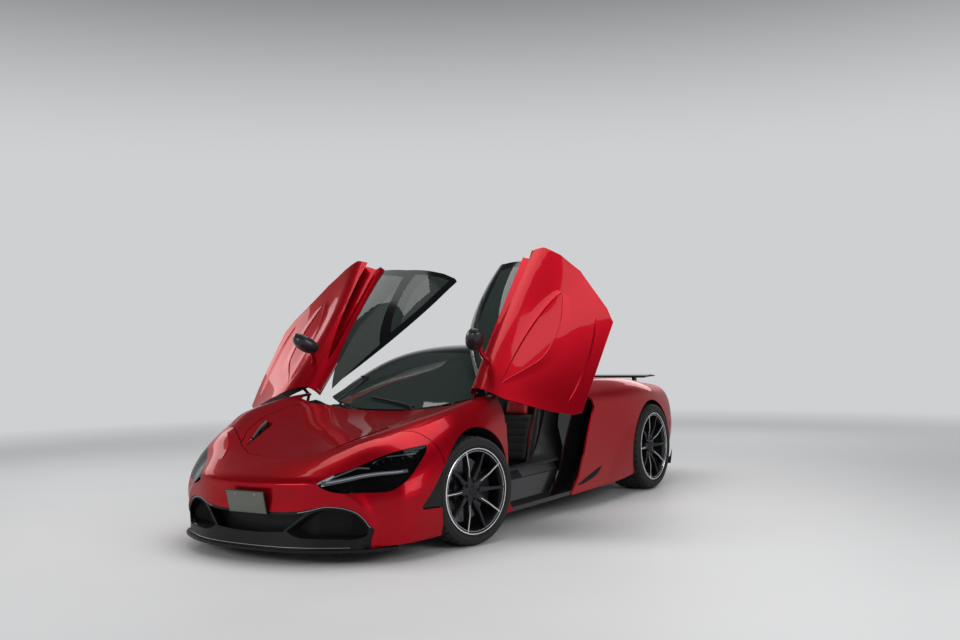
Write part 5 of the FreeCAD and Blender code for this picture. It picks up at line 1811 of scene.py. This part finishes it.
    def mirror_glass(self) -> None:
        """The reflector in the housing's hollow and the red sleeve on the arm."""
        piece = Piece(f"mirror_glass_{self.side.word}", self.body, [MIRROR, SATIN_BLACK])
        middle = Vector((0.5335, 0.984, 0.935))
        tilt = Matrix.Rotation(math.radians(-6), 4, "X")
        for grow, back, finish in ((0.90, 0.0, 1), (0.84, 0.0022, 0)):
            ring = [(-back, 0.100 * grow * squared(math.cos(a), 0.7) * 0.92,
                     0.062 * grow * squared(math.sin(a), 0.8) * 0.92)
                    for a in (math.tau * k / 48 for k in range(48))]
            piece.slab(ring, (-0.002, 0, 0), 0.0006, finish)
        piece.done(35.0, self.spot @ Matrix.Translation(middle) @ tilt)
        arm = Piece(f"mirror_arm_{self.side.word}", self.body, [PAINT])
        path = curve([(0.584, 0.824, 0.770), (0.580, 0.846, 0.846), (0.568, 0.884, 0.884),
                      (0.554, 0.930, 0.908)], 8)
        arm.tube(path[3:], 0.0172, 20, grow=lambda share: 1.02 - 0.19 * share,
                 ups=[Vector((1, 0, 0))] * len(path[3:]))
        arm.done(35.0, self.spot)

    def build(self) -> None:
        """Builds and dresses the door."""
        self.belt_strip()
        self.seals()
        self.card()
        self.creases()
        self.mirror_glass()
        log.info("door %s dressed", self.side.word)


# Cabin


@dataclass
class Seat:
    """One bucket seat: padded base, back, head pad and bolsters in the moulded shell."""

    side: Side
    middle: float = 0.375
    pad_half: float = 0.150
    bolster_out: float = 0.198
    line: Sequence[Pair] = ((0.310, 0.296), (0.230, 0.274), (0.150, 0.256),
                            (0.040, 0.252), (-0.030, 0.290), (-0.072, 0.340),
                            (-0.120, 0.460), (-0.160, 0.562), (-0.200, 0.672),
                            (-0.236, 0.770))
    edge: Sequence[Pair] = ((0.372, 0.300), (0.320, 0.322), (0.180, 0.302),
                            (0.060, 0.298), (-0.024, 0.352), (-0.074, 0.460),
                            (-0.120, 0.562), (-0.164, 0.690), (-0.200, 0.786))

    def pad(self, name: str, start: int, stop: int, wide: float, crown: float, channels: int,
            finish: Finish) -> None:
        """One cushion along part of the seat's line.

        Args:
            name: its name.
            start: the first point of the line it covers.
            stop: the last.
            wide: its half width.
            crown: how far it swells.
            channels: how many sewn channels cross it.
            finish: its cover.
        """
        path = curve([(x, 0, z) for x, z in self.line[start:stop + 1]], 10)
        last = len(path) - 1
        piece = Piece(f"{name}_{self.side.word}", "chassis", [finish])

        def place(u: float, v: float) -> Vector:
            """A point round the cushion's section, for a share of its line.

            Args:
                u: the share of the way round the section.
                v: the share of the cushion's line.

            Returns:
                The point.
            """
            k = min(last, v * last)
            low, high = math.floor(k), math.ceil(k)
            spot = path[low].lerp(path[high], k - low)
            ahead = (path[min(low + 1, last)] - path[max(low - 1, 0)]).normalized()
            up = Vector((ahead.z, 0, -ahead.x)) if ahead.x < 0 else Vector((-ahead.z, 0, ahead.x))
            if up.x < 0 and up.z < 0:
                up = -up
            angle = math.tau * u
            across = squared(math.cos(angle), 0.45)
            over = math.sin(angle)
            ends = max(0.02, 1 - (2 * v - 1) ** 8) ** 0.5
            sewn = 0.80 + 0.20 * abs(math.sin(math.pi * channels * v)) ** 0.35
            rise = crown * over * ends * sewn if over > 0 else 0.006 * over * ends
            pinch = 1.0 - 0.035 * (1 - abs(2 * v - 1) ** 3) - 0.05 * (1 - ends)
            return spot + up * (rise + 0.004) + Vector((0, across * wide * pinch, 0))

        piece.sheet(40, 12 * max(3, channels), place, True)
        boundary = [edge for edge in piece.mesh.edges if edge.is_boundary]
        bmesh.ops.holes_fill(piece.mesh, edges=boundary)
        cushion = piece.done(60.0, Matrix.Translation((0, self.middle * self.side.value, 0)), rounded)

    def bolster(self, sign: int) -> None:
        """The padded roll along one side of the shell, with its piping.

        Args:
            sign: -1 for the side towards the car's middle, 1 for the other.
        """
        word = "inner" if sign < 0 else "outer"
        piece = Piece(f"seat_bolster_{word}_{self.side.word}", "chassis", [HIDE])
        out = self.middle + sign * self.bolster_out
        path = curve([(x - 0.004, out, z - 0.012) for x, z in self.edge], 6)
        ring = [(0.027 * squared(math.cos(a), 0.8), 0.021 * math.sin(a))
                for a in (math.tau * k / 20 for k in range(20))]
        ups = []
        for k, _ in enumerate(path):
            ahead = path[min(k + 1, len(path) - 1)] - path[max(k - 1, 0)]
            ups.append(Vector((ahead.z, 0, -ahead.x)) if ahead.z > 0 or ahead.x < 0 else Vector((0, 0, 1)))
        piece.sweep(path, ring, ups,
                    grow=lambda share: max(0.15, 1 - (2 * share - 1) ** 6) ** 0.5)
        cushion = piece.done(60.0, flipped(self.side), rounded)
        piping = Piece(f"seat_piping_{word}_{self.side.word}", "chassis", [RED_HIDE])
        line = [p + Vector((0.006, -sign * 0.0235, 0.006)) for p in path[3:-3]]
        piping.tube(line, 0.0026, 8, ups=[Vector((0, 1, 0))] * len(line))
        piping.done(60.0, flipped(self.side))

    def belt(self) -> None:
        """The webbing of the belt over the back, and its anchor."""
        piece = Piece(f"seat_belt_{self.side.word}", "chassis", [WEBBING, STEEL])
        points = [(-0.250, 0.575, 0.800), (-0.190, 0.560, 0.700), (-0.118, 0.545, 0.540),
                  (-0.060, 0.560, 0.400), (0.010, 0.590, 0.316)]
        path = curve(points, 8)
        piece.strip(path, [Vector((0.9, 0, 0.45))] * len(path), 0.046, 0.0016)
        piece.block((0.000, 0.570, 0.290), (0.026, 0.604, 0.330), 0.004, 1)
        piece.done(40.0, flipped(self.side))

    def build(self) -> None:
        """Builds and dresses the seat."""
        self.pad("seat_base_pad", 0, 4, self.pad_half, 0.026, 5, HIDE)
        self.pad("seat_back_pad", 5, 8, self.pad_half * 0.96, 0.030, 6, HIDE)
        self.pad("seat_head_pad", 8, 9, self.pad_half * 0.62, 0.034, 1, RED_HIDE)
        for sign in (-1, 1):
            self.bolster(sign)
        self.belt()
        log.info("seat %s dressed", self.side.word)


@dataclass
class Cabin:
    """Shells of the seats, screens, vents, stitching, the hand wheel's trim, pedals and mats."""

    wheel_radius: float = 0.180
    wheel_tilt: float = 22.0
    parked_steer: float = 12.0

    def shells(self) -> None:
        """The moulded shells of both seats, from the frame's own solids."""
        piece = Piece("seat_shells", "chassis", [SATIN_BLACK])
        piece.mesh.from_mesh(frame["nodes"]["seats"].data)
        bmesh.ops.remove_doubles(piece.mesh, verts=list(piece.mesh.verts), dist=1e-5)
        piece.done(30.0, replaces=["seats"])

    def screens(self) -> None:
        """The driver's display, the upright centre screen and their surrounds."""
        piece = Piece("displays", "chassis", [GLOSS_BLACK, DISPLAY, STEEL])
        tilt = Matrix.Translation((0.566, 0.372, 0.752)) @ Matrix.Rotation(math.radians(-18), 4, "Y")
        piece.block((-0.010, -0.125, -0.040), (0.010, 0.125, 0.040), 0.006, 0, tilt)
        piece.block((-0.0118, -0.116, -0.033), (-0.0100, 0.116, 0.033), 0.0006, 1, tilt)
        tilt = Matrix.Translation((0.560, 0.0, 0.655)) @ Matrix.Rotation(math.radians(-24), 4, "Y")
        piece.block((-0.009, -0.078, -0.110), (0.009, 0.078, 0.110), 0.008, 0, tilt)
        piece.block((-0.0108, -0.070, -0.100), (-0.0088, 0.070, 0.100), 0.0006, 1, tilt)
        for k in range(3):
            place = (tilt @ Matrix.Translation((-0.012, -0.045 + 0.045 * k, -0.125))
                     @ Matrix.Rotation(-math.pi / 2, 4, "Y"))
            piece.cone((0.012, 0.0105), 0.016, 32, place)
        piece.done(35.0)

    def vents(self) -> None:
        """Air vents with slats at both ends and in the middle of the dashboard."""
        piece = Piece("air_vents", "chassis", [SATIN_BLACK, STEEL])
        for y in (-0.56, -0.14, 0.14, 0.585):
            tilt = Matrix.Translation((0.548, y, 0.716)) @ Matrix.Rotation(math.radians(-16), 4, "Y")
            wide = 0.052
            for low, high in (((-0.004, -wide, 0.020), (0.006, wide, 0.024)),
                              ((-0.004, -wide, -0.024), (0.006, wide, -0.020)),
                              ((-0.004, -wide, -0.024), (0.006, -wide + 0.004, 0.024)),
                              ((-0.004, wide - 0.004, -0.024), (0.006, wide, 0.024))):
                piece.block(low, high, 0.001, 1, tilt)
            for k in range(4):
                z = -0.0135 + 0.009 * k
                piece.block((-0.001, -wide + 0.004, z - 0.001), (0.010, wide - 0.004, z + 0.001),
                            0.0, 0, tilt)
        piece.done(35.0)

    def stitching(self) -> None:
        """Two runs of stitches along the dashboard's brow."""
        skin = Skin("dashboard")
        piece = Piece("dash_stitches", "chassis", [RED_HIDE])
        for x in (0.600, 0.612):
            for k in range(120):
                y = -0.60 + 1.20 * k / 119
                a, up = skin.drop((x, y, 1.1), (0, 0, -1), 0.0006)
                b = a + Vector((0, 0.0062, 0))
                piece.strip([a, a.lerp(b, 0.5) + up * 0.0006, b], [up] * 3, 0.0014, 0.0008)
        piece.done(60.0)

    def hand_wheel(self) -> None:
        """Grips, spokes, hub pad and paddles of the steering wheel."""
        row = joint_row("steering_wheel_turn")
        limit = joint_row("steer_left")["range_deg"][0]
        turn = math.radians(-row["range_deg"][0]) * self.parked_steer / -limit
        spot = (Matrix.Translation(row["pos_m"])
                @ Matrix.Rotation(math.radians(self.wheel_tilt), 4, "Y")
                @ Matrix.Rotation(turn, 4, "X"))
        piece = Piece("hand_wheel_trim", "steering_wheel", [HIDE, STEEL, GLOSS_BLACK, RED_HIDE])
        for start, stop in ((-38, 38), (142, 218)):
            path = [Vector((0, self.wheel_radius * math.cos(math.radians(a)),
                            self.wheel_radius * math.sin(math.radians(a))))
                    for a in (start + (stop - start) * k / 24 for k in range(25))]
            piece.tube(path, 0.0168, 16, ups=[Vector((1, 0, 0))] * len(path),
                       grow=lambda share: 0.93 + 0.09 * (1 - (2 * share - 1) ** 4))
        for a, b in (((-0.052, 0), (-0.166, 0)), ((0.052, 0), (0.166, 0)), ((0, -0.05), (0, -0.166))):
            start, stop = Vector((-0.009, *a)), Vector((-0.009, *b))
            path = [start.lerp(stop, k / 6) for k in range(7)]
            piece.strip(path, [Vector((-1, 0, 0))] * 7, 0.030, 0.004, 1,
                        grow=lambda share: 1.2 - 0.45 * share)
        piece.block((-0.040, -0.058, -0.046), (-0.012, 0.058, 0.046), 0.014, 0)
        for y in (-0.085, 0.085):
            piece.block((0.024, y - 0.030, -0.004), (0.028, y + 0.030, 0.070), 0.0015, 2)
        piece.block((-0.017, -0.008, self.wheel_radius - 0.004), (-0.012, 0.008, self.wheel_radius + 0.010),
                    0.001, 3)
        piece.done(45.0, spot)

    def pedals(self) -> None:
        """Two pedals on their arms and a foot rest."""
        piece = Piece("pedals", "chassis", [STEEL, SATIN_BLACK])
        for y, wide, high in ((0.330, 0.045, 0.060), (0.235, 0.026, 0.085)):
            tilt = Matrix.Translation((0.790, y, 0.270)) @ Matrix.Rotation(math.radians(28), 4, "Y")
            piece.block((-0.004, -wide, -high), (0.004, wide, high), 0.003, 0, tilt)
            for k in range(4):
                z = -high + 0.016 + k * (2 * high - 0.032) / 3
                piece.block((-0.007, -wide + 0.006, z - 0.003), (-0.004, wide - 0.006, z + 0.003),
                            0.001, 1, tilt)
            piece.tube(curve([(0.790, y, 0.300), (0.812, y, 0.380), (0.826, y, 0.460)], 4), 0.007, 10,
                       1, ups=[Vector((0, 1, 0))] * 9)
        piece.block((0.780, 0.455, 0.165), (0.812, 0.540, 0.330), 0.006, 0)
        piece.done(35.0)

    def mats(self) -> None:
        """Carpet mats with a bound edge."""
        for side in Side:
            piece = Piece(f"floor_mat_{side.word}", "chassis", [CARPET, RED_HIDE])
            piece.block((0.420, 0.125, 0.1425), (0.820, 0.560, 0.1490), 0.002, 0)
            piece.border([Vector((x, y, 0.149)) for x, y in (
                (0.424, 0.129), (0.816, 0.129), (0.816, 0.556), (0.424, 0.556))],
                (0, 0, 1), 0.010, 0.0016, 1)
            piece.done(40.0, flipped(side))

    def console(self) -> None:
        """A row of buttons and the padded lid of the centre console."""
        skin = Skin("dashboard")
        piece = Piece("console_controls", "chassis", [GLOSS_BLACK, STEEL, RED_HIDE])
        for k in range(4):
            spot, up = skin.drop((0.16 + 0.055 * k, 0.0, 1.1), (0, 0, -1), 0.001)
            piece.block((-0.020, -0.034, -0.002), (0.020, 0.034, 0.006), 0.003, k % 2,
                        standing(spot, up))
        spot, up = skin.drop((-0.02, 0.0, 1.1), (0, 0, -1), 0.001)
        piece.block((-0.090, -0.060, -0.004), (0.080, 0.060, 0.018), 0.012, 2, standing(spot, up))
        piece.done(40.0)

    def build(self) -> None:
        """Builds and dresses the cabin."""
        self.shells()
        both(lambda side: Seat(side).build())
        self.screens()
        self.vents()
        self.stitching()
        self.hand_wheel()
        self.pedals()
        self.mats()
        self.console()
        log.info("cabin dressed")


@dataclass
class Doorway:
    """Seals, sill tread and the lining of one door's opening."""

    side: Side
    tube_radius: float = 0.009
    bulkhead: float = -0.618
    trim_outer: Sequence[Point] = ((0.700, 0.738, 0.366), (0.500, 0.738, 0.366), (0.200, 0.738, 0.366),
                                   (0.000, 0.738, 0.366), (-0.120, 0.738, 0.368),
                                   (-0.270, 0.736, 0.394), (-0.360, 0.732, 0.462),
                                   (-0.430, 0.726, 0.562), (-0.470, 0.714, 0.662),
                                   (-0.468, 0.690, 0.762))
    trim_inner: Sequence[Point] = ((0.700, 0.640, 0.340), (0.500, 0.632, 0.344), (0.240, 0.622, 0.352),
                                   (0.080, 0.620, 0.374), (-0.010, 0.620, 0.420),
                                   (-0.076, 0.620, 0.500), (-0.124, 0.620, 0.590),
                                   (-0.170, 0.620, 0.680), (-0.210, 0.616, 0.760),
                                   (-0.250, 0.606, 0.830))

    def seal(self) -> None:
        """The double rubber tube round the opening."""
        piece = Piece(f"doorway_seal_{self.side.word}", "chassis", [RUBBER_BLACK])
        points = [(0.770, 0.640, 0.735), (0.776, 0.700, 0.640), (0.776, 0.716, 0.520),
                  (0.770, 0.728, 0.430), (0.728, 0.742, 0.376), (0.640, 0.746, 0.366),
                  (0.300, 0.748, 0.366), (-0.120, 0.748, 0.368), (-0.270, 0.746, 0.392),
                  (-0.360, 0.742, 0.460), (-0.430, 0.736, 0.560), (-0.472, 0.724, 0.660),
                  (-0.470, 0.700, 0.760), (-0.452, 0.668, 0.850)]
        path = curve(points, 8)
        piece.tube(path, self.tube_radius, 12, ups=[Vector((0, 1, 0))] * len(path))
        lip = [p + Vector((0, 0.017, -0.004)) for p in path[8:]]
        piece.tube(lip, self.tube_radius * 0.6, 10, ups=[Vector((0, 1, 0))] * len(lip))
        piece.done(60.0, flipped(self.side))

    def tread(self) -> None:
        """Bright ribs along the slope of the sill."""
        piece = Piece(f"sill_tread_{self.side.word}", "chassis", [CARBON, STEEL])
        foot, top = Vector((0, 0.786, 0.3016)), Vector((0, 0.744, 0.3556))
        for k in range(9):
            spot = foot.lerp(top, 0.12 + 0.095 * k)
            path = [Vector((x, spot.y + 0.0006, spot.z + 0.0008)) for x in (-0.05, 0.2, 0.45)]
            piece.strip(path, [Vector((0, 0.8, 0.6))] * 3, 0.0026, 0.0012, 1)
        piece.done(35.0, flipped(self.side))

    def lining(self) -> None:
        """The moulded panel from the rear bulkhead out to the opening's back edge."""
        piece = Piece(f"doorway_lining_{self.side.word}", "chassis", [SATIN_BLACK])
        front = [(-0.110, 0.340), (-0.270, 0.376), (-0.368, 0.452), (-0.440, 0.556), (-0.484, 0.662),
                 (-0.482, 0.764), (-0.464, 0.850)]
        back = [(self.bulkhead, z) for z in (0.250, 0.350, 0.440, 0.540, 0.640, 0.730, 0.830)]

        def place(u: float, v: float) -> Vector:
            """A point between the seal's line and the bulkhead.

            Args:
                u: the share of the way back to the bulkhead.
                v: the share of the way up.

            Returns:
                The point.
            """
            k = min(len(front) - 1.0001, v * (len(front) - 1))
            low = int(k)
            a = Vector(front[low]).lerp(Vector(front[low + 1]), k - low)
            b = Vector(back[low]).lerp(Vector(back[low + 1]), k - low)
            spot = a.lerp(b, u)
            inward = 0.742 - 0.10 * max(0.0, spot.y - 0.62) / 0.24
            return Vector((spot.x, inward - 0.030 * u - 0.012 * math.sin(math.pi * u), spot.y))

        piece.sheet(16, 24, place)
        bmesh.ops.solidify(piece.mesh, geom=list(piece.mesh.faces), thickness=0.004)
        piece.done(50.0, flipped(self.side))

    def trim(self) -> None:
        """The padded trim that sweeps from the sill up behind the seat."""
        piece = Piece(f"doorway_trim_{self.side.word}", "chassis", [HIDE])
        outer, inner = curve(self.trim_outer, 6), curve(self.trim_inner, 6)
        last = len(outer) - 1

        def place(u: float, v: float) -> Vector:
            """A point across the trim, for a share of its length.

            Args:
                u: the share of the way inwards.
                v: the share of the trim's length.

            Returns:
                The point.
            """
            k = round(v * last)
            spot = outer[k].lerp(inner[k], u)
            swell = math.sin(math.pi * u) * 0.020
            return spot + Vector((swell * 0.7 * min(1.0, v * 2), 0.2 * swell, swell * (1 - 0.6 * v)))

        piece.sheet(10, last, place)
        bmesh.ops.solidify(piece.mesh, geom=list(piece.mesh.faces), thickness=0.003)
        piece.done(50.0, flipped(self.side))

    def build(self) -> None:
        """Builds and dresses the opening."""
        self.seal()
        self.trim()
        self.tread()
        self.lining()
        log.info("doorway %s dressed", self.side.word)


# Flanks and tail


@dataclass
class Flank:
    """A flat near-black sheet on the flank ahead of one rear wheel: painted shade in place of the slot's
    opening.
    """

    side: Side
    upper: Sequence[Pair] = ((-0.048, 0.194), (-0.160, 0.218), (-0.300, 0.249),
                             (-0.400, 0.270), (-0.496, 0.287))
    lower: Sequence[Pair] = ((-0.048, 0.194), (-0.130, 0.192), (-0.260, 0.206),
                             (-0.400, 0.236), (-0.496, 0.287))

    def build(self) -> None:
        """Builds and dresses the flank."""
        skin = Skin("quarters")
        piece = Piece(f"flank_slot_{self.side.word}", "chassis", [DUCT_BLACK_SLOT_SHADE])
        out = 1.4 * self.side.value
        way = (0, -self.side.value, 0)
        upper = curve([(x, out, z) for x, z in self.upper], 6)
        lower = curve([(x, out, z) for x, z in self.lower], 6)

        def place(u: float, v: float) -> Vector:
            """A point of the sheet of painted shade on the flank."""
            k = round(u * 24)
            return skin.drop(tuple(upper[k].lerp(lower[k], v)), way, 0.0012)[0]

        # The slot is no opening: a thin sheet lifted 1.2 mm off the flank, painted near-black as shade.
        piece.sheet(24, 6, place)
        bmesh.ops.remove_doubles(piece.mesh, verts=list(piece.mesh.verts), dist=1e-5)
        piece.done(40.0)
        log.info("flank %s dressed", self.side.word)


@dataclass
class Tail:
    """Outlet mesh, exhaust rims, the tail lamps' light lines and the deck's louvres."""

    mesh_pitch: float = 0.018
    pipe_radius: float = 0.058
    pipe_out: float = 0.19
    pipe_height: float = 0.56

    def outlet(self) -> None:
        """Wire mesh over the tail panel."""
        piece = Piece("outlet_mesh", "chassis", [SATIN_BLACK])
        half, low, high = 0.70, 0.44, 0.74
        across, along = round(2 * half / self.mesh_pitch), round((high - low) / self.mesh_pitch)
        piece.sheet(across, along, lambda u, v: Vector((-2.012, (2 * u - 1) * half,
                                                        low + (high - low) * v)))
        middles = [(face, face.calc_center_median()) for face in piece.mesh.faces]
        holes = [face for face, spot in middles
                 if math.hypot(abs(spot.y) - self.pipe_out, spot.z - self.pipe_height) < 0.082]
        bmesh.ops.delete(piece.mesh, geom=holes, context="FACES")
        piece.wires(0.002)
        piece.done(30.0)

    def pipes(self) -> None:
        """Rolled rims of the two exhausts."""
        piece = Piece("exhaust_rims", "chassis", [STEEL])
        for y in (-self.pipe_out, self.pipe_out):
            unit = Piece("pipe", "chassis", [])
            r = self.pipe_radius
            unit.turned([(r + 0.0004, -0.030), (r + 0.004, -0.004), (r + 0.003, 0.002),
                         (r - 0.003, 0.004), (r - 0.009, 0.001), (r - 0.0085, -0.030)], 48)
            piece.add(unit, Matrix.Translation((-2.062, y, self.pipe_height))
                      @ Matrix.Rotation(math.pi / 2, 4, "Z"))
        piece.done(35.0)

    def lamps(self) -> None:
        """The glowing line inside each tail lamp."""
        piece = Piece("tail_light_lines", "chassis", [TAIL_LIGHT])
        for side in Side:
            path = curve([(-2.0315, y * side.value, z) for y, z in (
                (0.340, 0.7350), (0.450, 0.7350), (0.558, 0.7350), (0.640, 0.716), (0.722, 0.694),
                (0.738, 0.664))], 6)
            piece.strip(path, [Vector((-1, 0, 0))] * len(path), 0.006, 0.0012)
        piece.done(40.0)

    def louvres(self) -> None:
        """Raised slats across the engine cover."""
        skin = Skin("engine_cover")
        piece = Piece("cover_louvres", "chassis", [SATIN_BLACK])
        for k in range(7):
            x = -1.24 - 0.05 * k
            half = 0.30 - 0.022 * k
            path, ups = skin.drape([(x, -half, 1.4), (x, 0, 1.4), (x, half, 1.4)], (0, 0, -1), 0.001, 8)
            piece.strip(path, [(up + Vector((-0.6, 0, 0))).normalized() for up in ups], 0.026, 0.004)
        piece.done(35.0)

    def build(self) -> None:
        """Builds and dresses the tail."""
        self.outlet()
        self.pipes()
        self.lamps()
        self.louvres()
        log.info("tail dressed")


# Dressing the frame's own nodes

NODE_FINISH: dict[str, Finish] = {
    "red_paint": PAINT, "black_gloss": GLOSS_BLACK, "black_trim": SATIN_BLACK,
    "carbon": CARBON, "glass": GLASS, "lamp_glass": LAMP_COVER, "lamp_red": TAIL_LENS,
    "dark_alloy": WHEEL_GREY, "alloy": CAST, "tyre": TYRE, "hide": HIDE, "steel": STEEL,
}
OWN_FINISH: dict[str, Finish] = {
    "knuckle_left": CALIPER, "knuckle_right": CALIPER,
    "mirror_left": CARBON, "mirror_right": CARBON,
    "door_frame_left": ROOF_BLACK, "door_frame_right": ROOF_BLACK,
    "roof_frame": ROOF_BLACK, "splitter": BLADE_BLACK,
}


def dress_nodes() -> None:
    """Gives each node its own finish, or the one of its material slot."""
    for part in frame["record"]["subparts"]:
        item = frame["nodes"][part["node"]]
        finish = OWN_FINISH.get(part["node"]) or NODE_FINISH[part["material_slot"]]
        item.data.materials.clear()
        item.data.materials.append(finish.material())


def main() -> None:
    """Builds the studio and every sub-assembly in order."""
    Studio().build()
    dress_nodes()
    for side in Side:
        Corner(Axle.FRONT, side, tyre_radius=0.327, tyre_width=0.245, rim_radius=0.258).build()
        Corner(Axle.REAR, side, tyre_radius=0.3455, tyre_width=0.305, rim_radius=0.271,
               disc_set=0.0065).build()
    Nose().build()
    Bay().build()
    Screen().build()
    both(lambda side: Door(side).build())
    both(lambda side: Doorway(side).build())
    Cabin().build()
    both(lambda side: Flank(side).build())
    Tail().build()


if __name__ == "__main__":
    main()
